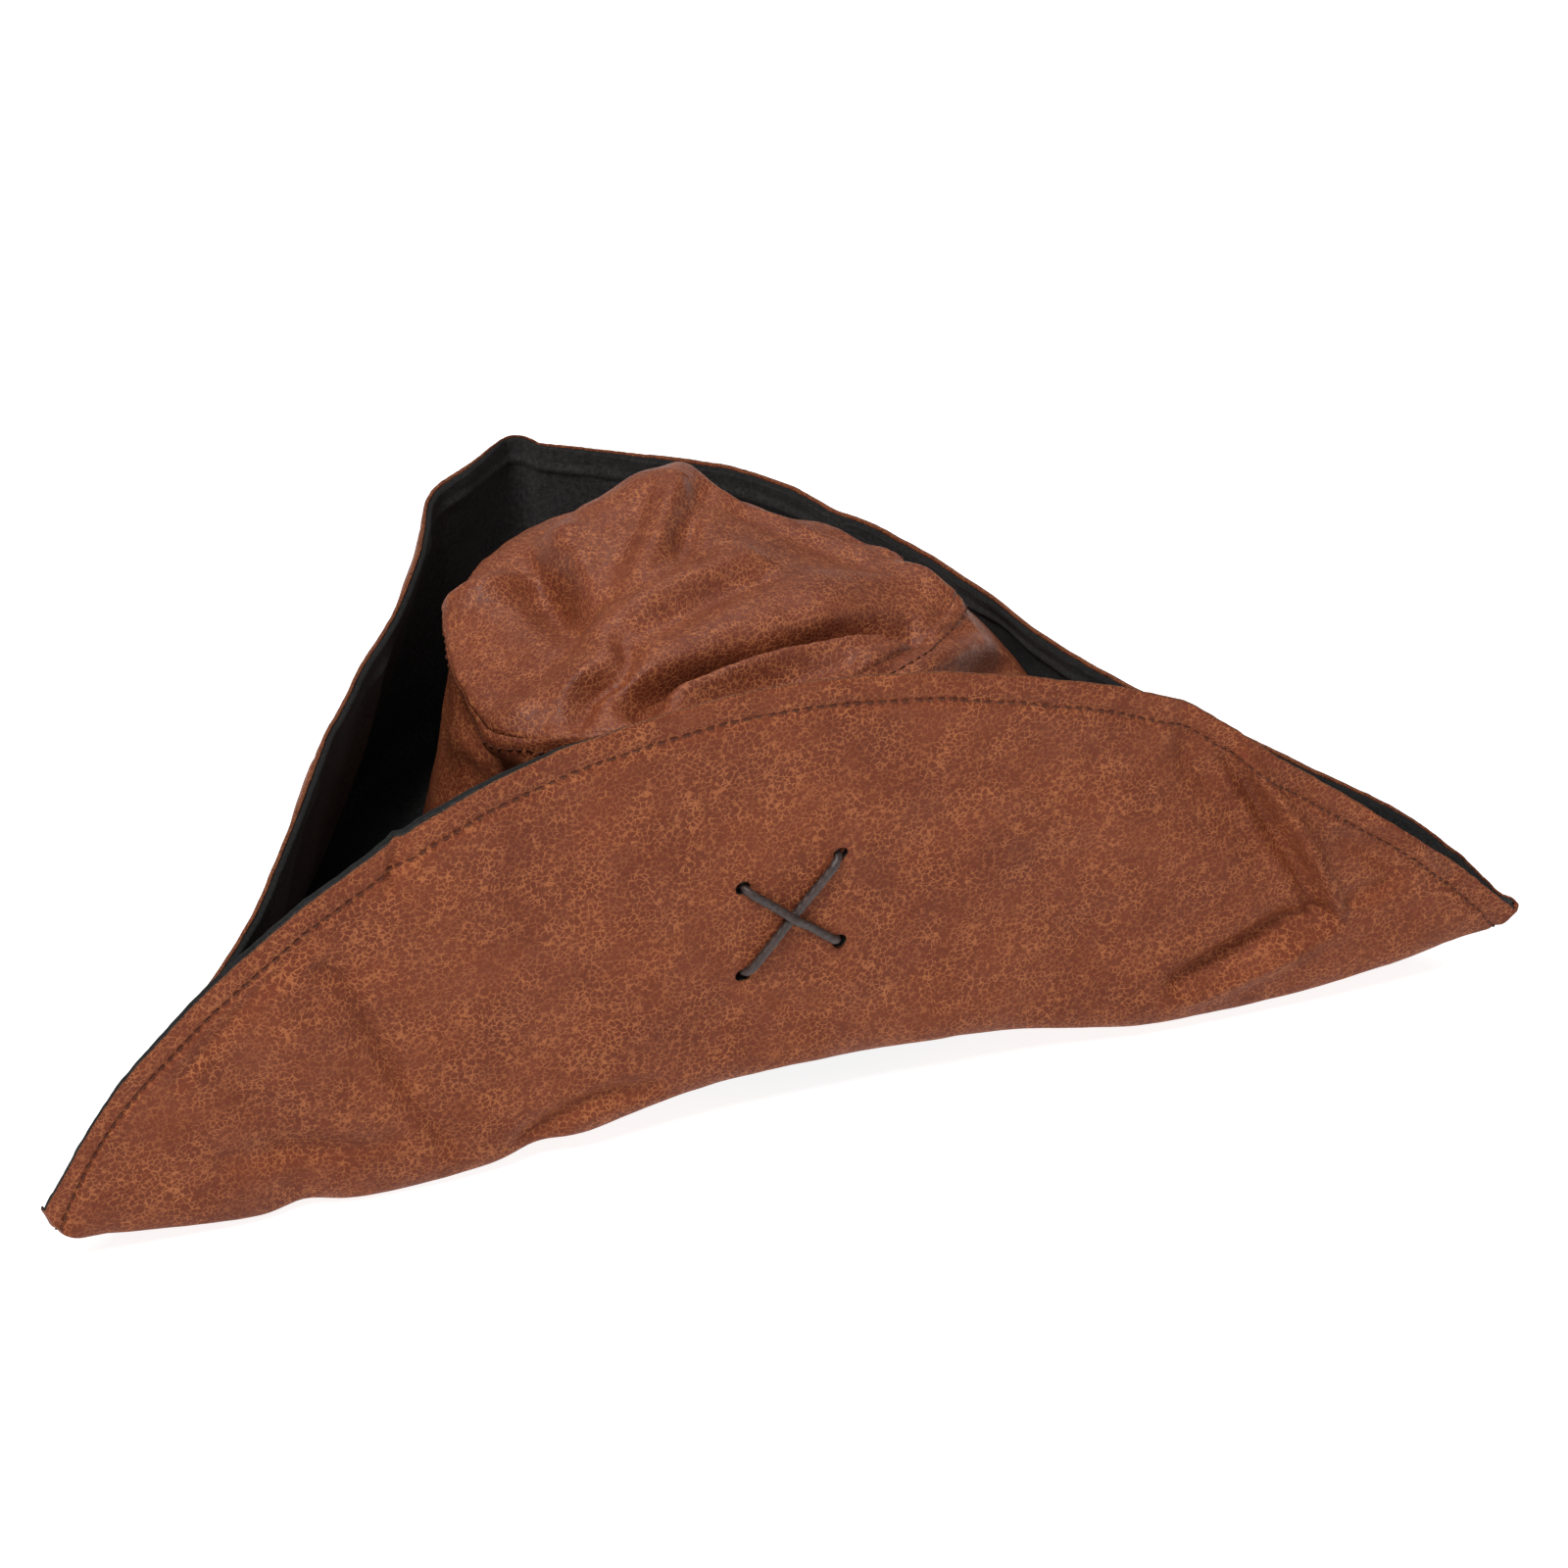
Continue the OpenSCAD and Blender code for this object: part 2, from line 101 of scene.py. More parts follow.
# Folds and dents: (points, push out of the cloth or, if negative, into it, half width)
CROWN_FOLDS = [
    # Long ridge across the front of the tip, the deep valley under it and a small fold inside the valley
    ([(-52, -31, 102), (-41, -29, 105), (-28, -27, 108), (-12, -22, 110), (4, -18, 110), (21, -14, 110),
      (40, -8, 106), (56, -6, 100)], 5.0, 8),
    ([(-40, -44, 103), (-31, -37, 105), (-16, -34, 107), (0, -31, 108), (17, -30, 108), (34, -28, 106),
      (46, -27, 103)], -13.5, 5),
    ([(-30, -43, 103), (-14, -41, 105), (3, -38, 106), (18, -37, 106), (32, -35, 104)], 4.5, 2.4),
    ([(-27, -49, 101), (-11, -47, 103), (4, -45, 104), (20, -44, 104)], -4.5, 2.6),
    # Wedge at the left end of the valley
    ([(-73, -21, 85), (-66, -28, 95), (-56, -28, 101), (-43, -24, 106)], 5.0, 6),
    ([(-57, -41, 99), (-52, -36, 102), (-46, -32, 104), (-37, -24, 107)], -6.0, 3.6),
    # Dent high on the left, with a ridge on each side
    ([(-49, 35, 111), (-48, 19, 108), (-46, -1, 107)], -11.0, 7.5),
    ([(-69, 30, 101), (-60, 27, 105), (-54, 30, 108)], 5.0, 5),
    ([(-36, 34, 115), (-36, 20, 113), (-38, 4, 110)], 3.0, 5),
    ([(-40, -14, 108), (-24, -9, 112), (-9, -4, 113), (7, 2, 114)], 4.5, 6),
    ([(-37, -22, 108), (-23, -17, 110), (-8, -12, 111), (8, -7, 112)], -3.0, 4),
    # Raised peak, a crease down from it, and the ridge from it to the right end of the seam
    ([(-3, 42, 119), (6, 48, 116)], 5.0, 11),
    ([(2, 50, 114), (-6, 30, 120), (-15, 14, 118), (-25, 2, 114)], 3.5, 4.5),
    ([(8, 40, 117), (-3, 22, 118), (-11, 7, 116)], -3.0, 4),
    ([(8, 42, 117), (20, 34, 112), (34, 22, 108), (50, 6, 102), (62, -10, 98)], 5.0, 5),
    ([(30, 46, 104), (44, 36, 98), (56, 20, 95)], -2.5, 6),
    # Puckers along the right end of the seam and in the band below it
    ([(21, -51, 101), (30, -47, 101), (47, -31, 101), (62, -13, 98)], -2.6, 2.6),
    ([(38, -46, 98), (52, -37, 95), (69, -22, 89)], 4.0, 4.5),
    ([(37, -43, 101), (45, -38, 101), (65, -19, 94)], -4.0, 3),
    ([(56, -44, 84), (68, -32, 84), (78, -20, 80)], -3.6, 4),
    # Folds of the band on the left
    ([(-74, 18, 64), (-71, 5, 67), (-67, -14, 67)], 2.4, 5),
    ([(-72, 24, 88), (-70, 12, 76), (-68, -10, 72)], -2.4, 5),
    # Slack folds down the sides and round the back
    ([(-76, 2, 80), (-80, -14, 62), (-84, -24, 44)], -3.6, 8),
    ([(-72, -30, 84), (-78, -38, 66), (-82, -40, 46)], 3.0, 7),
    ([(-62, -44, 88), (-68, -50, 70), (-74, -50, 50)], -3.0, 6),
    ([(70, 20, 88), (80, 10, 66), (88, 4, 40)], -3.6, 8),
    ([(66, 34, 92), (76, 36, 68), (84, 34, 42)], 2.8, 8),
    ([(40, 62, 94), (52, 66, 70), (58, 70, 40)], -4.2, 8),
    ([(2, 76, 94), (4, 82, 70), (2, 90, 40)], 3.2, 10),
    ([(-20, 74, 92), (-22, 80, 68), (-26, 86, 44)], -3.0, 7),
    ([(-40, 66, 94), (-44, 74, 70), (-50, 76, 40)], 3.0, 7),
    ([(2, 64, 112), (-24, 58, 112), (-44, 46, 110)], -4.0, 7),
    ([(30, 52, 112), (12, 56, 117), (-8, 54, 120)], 2.6, 7),
    ([(-66, 40, 92), (-72, 50, 70), (-78, 48, 40)], -3.0, 8),
]
# Folds of the crown that lie over: (points, shift, half width)
CROWN_LEANS = [
    ([(-40, -31, 106), (-29, -29, 108), (-12, -26, 110), (4, -22, 110), (21, -19, 110), (38, -15, 106)],
     (0, -8.5, -2.5), 7),
    ([(-62, -30, 98), (-56, -28, 101), (-45, -25, 106)], (3.5, -3.0, -1.0), 5),
]
BRIM_FOLDS = [
    # Left end of the front flap
    ([(-143, -105, 77), (-139, -105, 71), (-132, -105, 53), (-123, -105, 30), (-113, -104, 12)], -3.6, 2.2),
    ([(-154, -105, 70), (-146, -105, 48), (-136, -105, 26)], 2.4, 8),
    ([(-125, -105, 112), (-125, -105, 96)], -2.6, 1.3),
    ([(-171, -106, 62), (-162, -105, 40), (-154, -104, 22)], -2.2, 6),
    ([(-183, -106, 52), (-160, -106, 74), (-146, -105, 86)], -1.4, 2.6),
    ([(-92, -103, 10), (-74, -103, 17), (-56, -102, 20)], -3.2, 3),
    ([(-170, -104, 24), (-151, -104, 21), (-129, -104, 19)], -2.2, 4),
    ([(-152, -104, 10), (-151, -103, 3), (-150, -96, 1)], -2.6, 8),
    ([(-88, -103, 12), (-87, -102, 5), (-86, -95, 3)], -2.2, 8),
    # Right end of the front flap: a hollow with a sharp crease and ridge beside it, and smaller creases
    ([(94, -102, 92), (103, -101, 78), (113, -101, 64), (121, -102, 50), (128, -104, 38)], -4.0, 8),
    ([(106, -103, 88), (114, -104, 75), (122, -103, 62), (131, -101, 46), (137, -100, 33)], -5.0, 2.8),
    ([(110, -103, 89), (119, -104, 75), (128, -103, 61), (137, -101, 45), (142, -100, 33)], 5.0, 2.2),
    ([(138, -99, 31), (123, -101, 30), (111, -99, 25), (96, -101, 19)], -6.0, 4.2),
    ([(140, -101, 27), (127, -101, 21), (111, -101, 16), (96, -102, 12)], 2.4, 3.6),
    ([(146, -102, 36), (158, -104, 40), (153, -106, 48), (142, -106, 57)], -2.6, 3.2),
    ([(150, -105, 62), (162, -104, 52), (172, -104, 40)], 2.4, 2.6),
    ([(92, -105, 106), (95, -105, 92), (101, -105, 80)], -2.0, 4),
    # Long slow waves of the front flap
    ([(20, -104, 84), (10, -104, 70), (26, -103, 42)], -1.4, 8),
    ([(-60, -104, 96), (-52, -104, 60), (-60, -103, 30)], 1.6, 14),
    ([(60, -104, 92), (58, -104, 60), (66, -103, 30)], -1.4, 13),
    # Left flap
    ([(-92, 30, 80), (-104, 32, 50), (-112, 32, 24)], -3.6, 9),
    ([(-116, -20, 80), (-126, -10, 50), (-132, -4, 24)], 3.0, 11),
    ([(-62, 84, 88), (-80, 84, 56), (-92, 84, 26)], -3.0, 8),
    ([(-150, -62, 66), (-156, -50, 44), (-160, -44, 24)], -2.6, 7),
    ([(-192, -92, 44), (-205, -93, 31), (-216, -95, 20)], -3.0, 6),
    # Right flap
    ([(88, 10, 74), (102, 16, 46), (112, 20, 22)], 3.0, 11),
    ([(62, 70, 84), (76, 76, 54), (84, 84, 26)], -3.2, 9),
    ([(24, 108, 86), (34, 116, 50), (36, 120, 26)], 2.4, 9),
    ([(122, -44, 62), (132, -32, 40), (138, -26, 20)], -3.0, 8),
]

# ---------------------------------------------------------------- curves and grids, mm


def unit(v):
    return v / np.maximum(np.linalg.norm(v, axis=-1, keepdims=True), 1e-9)


def bell(x):
    """Rounded peak: 1 at 0, and next to nothing beyond 2 on each side."""
    return np.exp(-(x**2))


def outward_at(angle):
    """Level unit vectors that point outward at the angles."""
    return np.stack([np.cos(angle), np.sin(angle), 0 * angle], 1)


def run_along(path):
    """Distance of each point of a path from its start."""
    return np.concatenate([[0], np.cumsum(np.linalg.norm(np.diff(path, axis=0), axis=1))])


def bend(a, turn, b, u):
    """Point at share u of the bend from a to b that rounds off a turn."""
    return a * (1 - u) ** 2 + turn * 2 * u * (1 - u) + b * u**2


def curve(points, u, closed=False):
    """Points at shares u on a smooth curve through the points."""
    p = np.asarray(points, float)
    if closed:
        p = np.vstack([p[-1:], p, p[:2]])
    else:
        p = np.vstack([2 * p[0] - p[1], p, 2 * p[-1] - p[-2]])
    spans = len(p) - 3
    x = np.clip(np.asarray(u, float), 0, 1) * spans
    i = np.minimum(x.astype(int), spans - 1)
    f = (x - i)[:, None]
    a, b, c, d = p[i], p[i + 1], p[i + 2], p[i + 3]
    return (2 * b + (c - a) * f + (2 * a - 5 * b + 4 * c - d) * f**2 + (3 * b - a - 3 * c + d) * f**3) / 2


def even(points, count, closed=False):
    """The curve through the points as count points at even spacing."""
    dense = curve(points, np.linspace(0, 1, 1600), closed)
    run = run_along(dense)
    at = np.linspace(0, run[-1], count, endpoint=not closed)
    return np.stack([np.interp(at, run, dense[:, k]) for k in range(3)], 1)


FLOOR_END, FOLD_END = 0.25, 0.5  # shares of a brim column at which its floor and its rounded fold end
MOST_OF_FLOOR, MOST_OF_FLAP = 0.9, 0.6  # the most of each that the rounded fold may take


def across(foot, fold, edge, t):
    """Grid of points across the brim, at shares t of each column: floor, then rounded fold, then flap."""
    fold_in = np.minimum(FOLD_R, MOST_OF_FLOOR * np.linalg.norm(foot - fold, axis=1))[:, None]
    fold_up = np.minimum(FOLD_R, MOST_OF_FLAP * np.linalg.norm(edge - fold, axis=1))[:, None]
    a = fold + unit(foot - fold) * fold_in
    b = fold + unit(edge - fold) * fold_up
    rows = []
    for s in t:
        if s < FLOOR_END:
            rows.append(foot + (a - foot) * (s / FLOOR_END))
        elif s < FOLD_END:
            u = (s - FLOOR_END) / (FOLD_END - FLOOR_END)
            rows.append(bend(a, fold, b, u))
        else:
            rows.append(b + (edge - b) * (s - FOLD_END) / (1 - FOLD_END))
    return np.stack(rows, 1)


def smoothed(values, reach):
    """Running average along a ring of values."""
    share = np.hanning(2 * reach + 3)[1:-1]
    ring = np.concatenate([values[-reach:], values, values[:reach]])
    return np.convolve(ring, share / share.sum(), "valid")


FAN_REACH = 60  # columns over which the fan of feet is evened out


def feet(fold):
    """Where each column of the brim meets the crown's foot: a nearly even fan round the ring."""
    angle = np.unwrap(np.arctan2(fold[:, 1], fold[:, 0]))
    even_turn = angle[0] + np.linspace(0, 2 * np.pi, len(fold), endpoint=False)
    angle = even_turn + smoothed(angle - even_turn, FAN_REACH)
    return outward_at(angle) * (HEAD_R + FOOT_GAP) + [0, 0, FOOT_Z]


def corner(a_fold, a_edge, b_fold, b_edge, shares):
    """Rounded corner columns from the end of one flap to the start of the next."""
    def arc(a, b):
        out = np.cross(b - a, [0, 0, 1])
        t = shares[:, None]
        return a + (b - a) * t + out * t * (1 - t)
    return arc(a_fold, b_fold), arc(a_edge, b_edge)


FLAP_COLUMNS, CORNER_COLUMNS = 330, 9
EVEN_SHARE = 0.35  # the rest of the spacing of the columns is closer towards the corners


def flap_columns(name):
    """Fold and edge points of one flap's columns, from mid-corner to mid-corner."""
    before = next(k for k, v in NEXT_FLAP.items() if v == name)
    own, prev, nxt = FLAPS[name], FLAPS[before], FLAPS[NEXT_FLAP[name]]
    u = np.linspace(0, 1, FLAP_COLUMNS)
    u = u * EVEN_SHARE + (1 - EVEN_SHARE) * (1 - np.cos(np.pi * u)) / 2
    fold, edge = curve(own["fold"], u), curve(own["edge"], u)
    first = [np.array(prev[k][-1], float) for k in ("fold", "edge")]
    final = [np.array(nxt[k][0], float) for k in ("fold", "edge")]
    half = np.linspace(0.5, 1, CORNER_COLUMNS)[:-1]
    f0, e0 = corner(first[0], first[1], fold[0], edge[0], half)
    f1, e1 = corner(fold[-1], edge[-1], final[0], final[1], 1 - half[::-1])
    return np.vstack([f0, fold, f1]), np.vstack([e0, edge, e1])


NORMAL_BLURS = 3


def normals(grid):
    """Unit normals of a ring of columns, out of its suede side. Each is averaged with its neighbours'."""
    along = np.roll(grid, -1, 0) - np.roll(grid, 1, 0)
    area = np.cross(along, np.gradient(grid, axis=1))
    for axis, mode in ((0, "wrap"), (1, "edge")):
        for _ in range(NORMAL_BLURS):
            edges = [(0, 0)] * 3
            edges[axis] = (1, 1)
            wide = np.swapaxes(np.pad(area, edges, mode=mode), 0, axis)
            area = np.swapaxes(wide[:-2] + 2 * wide[1:-1] + wide[2:], 0, axis)
    return unit(area)


# ---------------------------------------------------------------- folds and dents

rng = np.random.default_rng(7)

SWINGS = 6  # waves in random directions at each size
# Unevenness of the cloth and its edges: (height in mm, size in mm, seed, octaves)
BRIM_WAVES = [(1.0, 95, 11, 3), (0.3, 30, 12, 3)]
BRIM_PUCKER = [(0.22, 9, 13, 1)]
SUEDE_RAGGED = [(0.45, 22, 14, 3), (0.18, 3.5, 15, 2)]
FELT_RAGGED = [(0.3, 30, 21, 3), (0.15, 4, 22, 2)]
CROWN_WAVES = [(1.0, 60, 31, 3), (0.6, 24, 32, 3), (0.25, 11, 33, 3)]


def soft_noise(p, size, seed, octaves):
    """Smooth random field over points p, about -1 to 1, with features of the given size in mm."""
    r = np.random.default_rng(seed)
    total = np.zeros(p.shape[:-1])
    for k in range(octaves):
        for _ in range(SWINGS):
            direction = unit(r.normal(size=3))
            phase = p @ direction * (2 * np.pi / size) * 2**k * r.uniform(0.7, 1.3)
            total += np.sin(phase + r.uniform(0, 6.3)) / 2**k
    return total / SWINGS


def uneven(p, kinds):
    """How far each point is moved by several noises together."""
    return sum(height * soft_noise(p, size, seed, octaves) for height, size, seed, octaves in kinds)


SNAP = 9.0  # a fold's point this near to the surface is moved onto it
FOLD_REACH = 3.2  # half widths past which a fold does nothing
FADE = 0.12  # share of the half wave left off at each end, so a fold starts and ends at half its push


def stroke(p, points, push, half_width):
    """How far each point is pushed by one fold: a line on the surface that fades at its ends."""
    flat = p.reshape(-1, 3)
    marks = np.array(points, float)
    gaps = np.linalg.norm(flat[None] - marks[:, None], axis=2)
    marks = np.where(gaps.min(1)[:, None] < SNAP, flat[gaps.argmin(1)], marks)
    line = even(marks, 90)
    reach = FOLD_REACH * half_width
    near = np.all((flat > line.min(0) - reach) & (flat < line.max(0) + reach), axis=1)
    out = np.zeros(len(flat))
    gaps = np.linalg.norm(flat[near][:, None] - line[None], axis=2)
    least = gaps.min(1)
    weight = np.exp(-((gaps**2 - least[:, None] ** 2) / (0.5 * half_width**2)))
    share = (weight @ np.linspace(0, 1, len(line))) / weight.sum(1)
    taper = np.sin(np.pi * (FADE + (1 - 2 * FADE) * share)) ** 0.6
    out[near] = push * taper * bell(least / half_width)
    return out.reshape(p.shape[:-1])


def folded(p, folds):
    """How far each point is pushed by all the folds."""
    return sum(stroke(p, *f) for f in folds)


# ---------------------------------------------------------------- meshes


def cut_edge_rows(front, back, where):
    """Two rows between a sheet's faces at its first or last row, bowed out a little as a cut edge is."""
    j, k = (0, 1) if where == "first" else (-1, -2)
    out = unit(front[:, j] - front[:, k])
    a, b = front[:, j], back[:, j]
    near, far, bow = 0.72, 0.28, 0.16
    return [a * near + b * far + out * bow, a * far + b * near + out * bow]


def placed(name, data):
    """New object in the scene."""
    obj = bpy.data.objects.new(name, data)
    bpy.context.scene.collection.objects.link(obj)
    return obj


def make_object(name, verts, faces, materials, edge_faces=0):
    """Mesh object from points in mm. The last edge_faces faces get the second material."""
    mesh = bpy.data.meshes.new(name)
    verts = np.asarray(verts, float).reshape(-1, 3) * MM
    mesh.from_pydata(verts.tolist(), [], faces)
    for m in materials:
        mesh.materials.append(m)
    mesh.polygons.foreach_set("use_smooth", [True] * len(mesh.polygons))
    if edge_faces:
        index = np.zeros(len(mesh.polygons), int)
        index[-edge_faces:] = 1
        mesh.polygons.foreach_set("material_index", index)
    rest = mesh.attributes.new("rest", "FLOAT_VECTOR", "POINT")
    rest.data.foreach_set("vector", verts.ravel())
    mesh.update()
    return placed(name, mesh)


def sheet_mesh(name, front, back, materials, ring=False, cap=False):
    """Closed sheet between two grids of points. A cap closes a ring's last row with a small flat face."""
    n, m = front.shape[:2]
    first = cut_edge_rows(front, back, "first")
    final = [] if cap else cut_edge_rows(front, back, "final")
    inner_rows = [back[:, j] for j in range(m - 1, -1, -1)]
    outer_rows = [front[:, j] for j in range(m)]
    rows = inner_rows + first[::-1] + outer_rows + final
    around = len(rows)
    verts = np.stack(rows, 1)
    spans = n if ring else n - 1
    skin, rim = [], []
    for i in range(spans):
        a, b = i * around, ((i + 1) % n) * around
        for j in range(around if not cap else around - 1):
            k = (j + 1) % around
            quad = (a + j, b + j, b + k, a + k)
            on_rim = m - 1 <= j < m + 2 or j >= 2 * m + 1
            (rim if on_rim else skin).append(quad)
    ends = []
    if cap:
        top, under = len(verts.reshape(-1, 3)), len(verts.reshape(-1, 3)) + 1
        verts = np.vstack([verts.reshape(-1, 3), verts[:, -1].mean(0), verts[:, 0].mean(0)])
        for i in range(n):
            a, b = i * around, ((i + 1) % n) * around
            skin += [(a + around - 1, b + around - 1, top), (b, a, under)]
    if not ring:
        strip = [(m - 2 - j, m - 1 - j, m + 2 + j, m + 3 + j) for j in range(m - 1)]
        strip += [(m - 1, m, m + 1, m + 2), (2 * m + 1, 2 * m + 2, 2 * m + 3, 0)]
        ends = strip + [tuple((n - 1) * around + j for j in quad[::-1]) for quad in strip]
    return make_object(name, verts, skin + rim + ends, materials, len(rim) + len(ends))


def tube_faces(start, rings, sides, closed=False):
    """Faces of a tube made of rings of points, with flat ends if it isn't closed."""
    faces = []
    for i in range(rings if closed else rings - 1):
        a, b = start + i * sides, start + (i + 1) % rings * sides
        faces += [(a + k, a + (k + 1) % sides, b + (k + 1) % sides, b + k) for k in range(sides)]
    if not closed:
        faces.append([start + k for k in range(sides - 1, -1, -1)])
        faces.append([start + (rings - 1) * sides + k for k in range(sides)])
    return faces


def tube(name, path, radius, material, sides, closed=False, twist=0.0, lobes=0, depth=0.0):
    """Round cord along a path in mm, with an optional twisted relief of strands."""
    p = np.asarray(path, float)
    n = len(p)
    if closed:
        along = unit(np.roll(p, -1, 0) - np.roll(p, 1, 0))
    else:
        along = unit(np.gradient(p, axis=0))
    side = np.zeros_like(p)
    side[0] = unit(np.cross(along[0], [0.3, 0.2, 1.0]))
    for i in range(1, n):
        side[i] = unit(side[i - 1] - along[i] * (side[i - 1] @ along[i]))
    up = np.cross(along, side)
    angle = 2 * np.pi * np.arange(sides) / sides
    swirl = angle[None] * lobes + run_along(p)[:, None] * twist
    r = radius * (1 + depth * np.cos(swirl)) if lobes else np.full((n, sides), radius)
    verts = p[:, None] + r[..., None] * (side[:, None] * np.cos(angle)[None, :, None]
                                         + up[:, None] * np.sin(angle)[None, :, None])
    return make_object(name, verts, tube_faces(0, n, sides, closed), [material])


def replace_nodes(piece, body, slot, *nodes):
    """The piece rides on a body and stands for CAD nodes. Its slot argument is not used."""
    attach(piece, body)
    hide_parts(*nodes)


def note_rest(obj):
    """Keep each point's place at rest, for the materials, after a mesh has been cut."""
    mesh = obj.data
    flat = np.empty(len(mesh.vertices) * 3)
    mesh.vertices.foreach_get("co", flat)
    if "rest" in mesh.attributes:
        mesh.attributes.remove(mesh.attributes["rest"])
    mesh.attributes.new("rest", "FLOAT_VECTOR", "POINT").data.foreach_set("vector", flat)


def joined(name, objs):
    """Several mesh objects as one, made without the join operator."""
    bm = bmesh.new()
    materials = []
    for o in objs:
        start = len(bm.faces)
        bm.from_mesh(o.data)
        slots = []
        for m in o.data.materials:
            if m not in materials:
                materials.append(m)
            slots.append(materials.index(m))
        bm.faces.ensure_lookup_table()
        for f in bm.faces[start:]:
            f.material_index = slots[f.material_index]
    mesh = bpy.data.meshes.new(name)
    bm.to_mesh(mesh)
    bm.free()
    for m in materials:
        mesh.materials.append(m)
    for o in objs:
        bpy.data.objects.remove(o)
    obj = placed(name, mesh)
    note_rest(obj)
    return obj


# ---------------------------------------------------------------- stitches


def stitch_row(name, path, out, material):
    """Row of single stitches along a path in mm. Each is a short bowed thread that dips into the cloth."""
    run = run_along(path)
    count = int(run[-1] // STITCH_PITCH)
    shape = np.linspace(-1, 1, 9)
    verts, faces = [], []
    sides = 8
    angle = 2 * np.pi * np.arange(sides) / sides
    for k in range(count):
        mid = (k + 0.5) * run[-1] / count + rng.normal(0, 0.12)
        at = mid + shape * STITCH_LEN / 2 * (1 + rng.normal(0, 0.05))
        line = np.stack([np.interp(at, run, path[:, c]) for c in range(3)], 1)
        up = unit(np.array([np.interp(mid, run, out[:, c]) for c in range(3)]))
        along = unit(line[-1] - line[0])
        side = unit(np.cross(up, along))
        tilt = rng.normal(0, 0.06)
        lift = (1 - shape**2) * STITCH_RISE - STITCH_DIP * shape**4
        line = line + side * (shape * tilt)[:, None] + up * lift[:, None]
        start = len(verts)
        for j, p in enumerate(line):
            r = THREAD_D / 2 * (1.0 - 0.25 * shape[j] ** 4)
            verts += list(p + side * np.cos(angle)[:, None] * r + up * np.sin(angle)[:, None] * r)
        faces += tube_faces(start, len(shape), sides)
    return make_object(name, verts, faces, [material])


GROOVE_DEPTH = 0.8


def stitch_groove(distance, width=1.2):
    """How far a line of stitches pulls the cloth in, at a distance from it in mm."""
    return -GROOVE_DEPTH * bell(distance / width)


# ---------------------------------------------------------------- brim

FLOOR_ROWS, BEND_ROWS, FLAP_ROWS = 20, 12, 86
FOLD_ROW = FLOOR_ROWS + BEND_ROWS
BRIM_T = np.concatenate([
    np.linspace(0, FLOOR_END, FLOOR_ROWS, endpoint=False),
    np.linspace(FLOOR_END, FOLD_END, BEND_ROWS, endpoint=False),
    np.linspace(FOLD_END, 1, FLAP_ROWS),
])
DRAW_REACH, STRETCH_REACH = 4.0, 3.5  # how far in from its edge a layer is moved when its edge is


def from_edge(grid):
    """Distance of each grid point from the last row, along its column."""
    steps = np.linalg.norm(np.diff(grid, axis=1), axis=2)
    back = np.cumsum(steps[:, ::-1], axis=1)[:, ::-1]
    return np.concatenate([back, np.zeros((len(grid), 1))], axis=1)


def from_foot(grid):
    """Distance of each grid point from the first row, along its column."""
    return np.cumsum(np.linalg.norm(np.diff(grid, axis=1, prepend=grid[:, :1]), axis=2), axis=1)


def drawn_in(grid):
    """The layer with its first rows drawn in, so that it meets the crown's foot all round."""
    share = bell(from_foot(grid) / DRAW_REACH)
    gap = np.hypot(grid[:, 0, 0], grid[:, 0, 1]) - HEAD_R - FOOT_GAP
    outward = unit(grid[:, 0] * [1, 1, 0])
    return grid - outward[:, None] * (share * gap[:, None])[..., None]


def stretched(grid, reach):
    """The grid with its last row moved out by reach, and the rows near it by less."""
    share = bell(from_edge(grid) / STRETCH_REACH)
    away = unit(grid[:, -1] - grid[:, -12])
    return grid + away[:, None] * (share * reach[:, None])[..., None]


def brim_surface():
    """The brim's suede face as one ring of columns, its normals, and the columns that each flap takes."""
    folds, edges, spans, start = [], [], {}, 0
    for name in FLAPS:
        fold, edge = flap_columns(name)
        folds.append(fold[:-1])
        edges.append(edge[:-1])
        spans[name] = (start, start + len(fold) - 1)
        start += len(fold) - 1
    fold, edge = np.vstack(folds), np.vstack(edges)
    grid = across(feet(fold), fold, edge, BRIM_T)
    out = normals(grid)
    loose = np.clip(BRIM_T / 0.3, 0, 1) ** 2
    push = folded(grid, BRIM_FOLDS) + uneven(grid, BRIM_WAVES) * loose
    inward = from_edge(grid)
    pucker = uneven(grid, BRIM_PUCKER) * bell((inward - STITCH_IN / 2) / 5)
    push = push + stitch_groove(inward - STITCH_IN) + pucker
    grid = grid + out * push[..., None]
    grid = stretched(grid, uneven(grid[:, -1], SUEDE_RAGGED))
    return grid, normals(grid), spans


brim_grid, brim_out, brim_spans = brim_surface()


def flap_part(name):
    """The flap's own columns of the brim's face and of its normals."""
    first, final = brim_spans[name]
    index = np.arange(first, final + 1) % len(brim_grid)
    return brim_grid[index], brim_out[index]


def on_flap(x, z):
    """Point of the front flap's suede face at x and height z, and the face's normal there."""
    grid, out = flap_part("front")
    flat, normal = grid[:, FOLD_ROW:].reshape(-1, 3), out[:, FOLD_ROW:].reshape(-1, 3)
    gap = np.hypot(flat[:, 0] - x, flat[:, 2] - z)
    near = np.argsort(gap)[:6]
    weight = 1 / (gap[near] + 0.05) ** 2
    weight /= weight.sum()
    return np.array([x, flat[near, 1] @ weight, z]), unit(weight @ normal[near])


def hole_place(side, level):
    """(x, z) of a punched hole. Side and level are -1 or 1."""
    x, z, rise = LACING
    return np.array([x + side * LACE_SQUARE / 2, z + level * LACE_SQUARE / 2 + side * rise])


HOLE_REACH = 8.0  # how far the cutter reaches to each side of the cloth


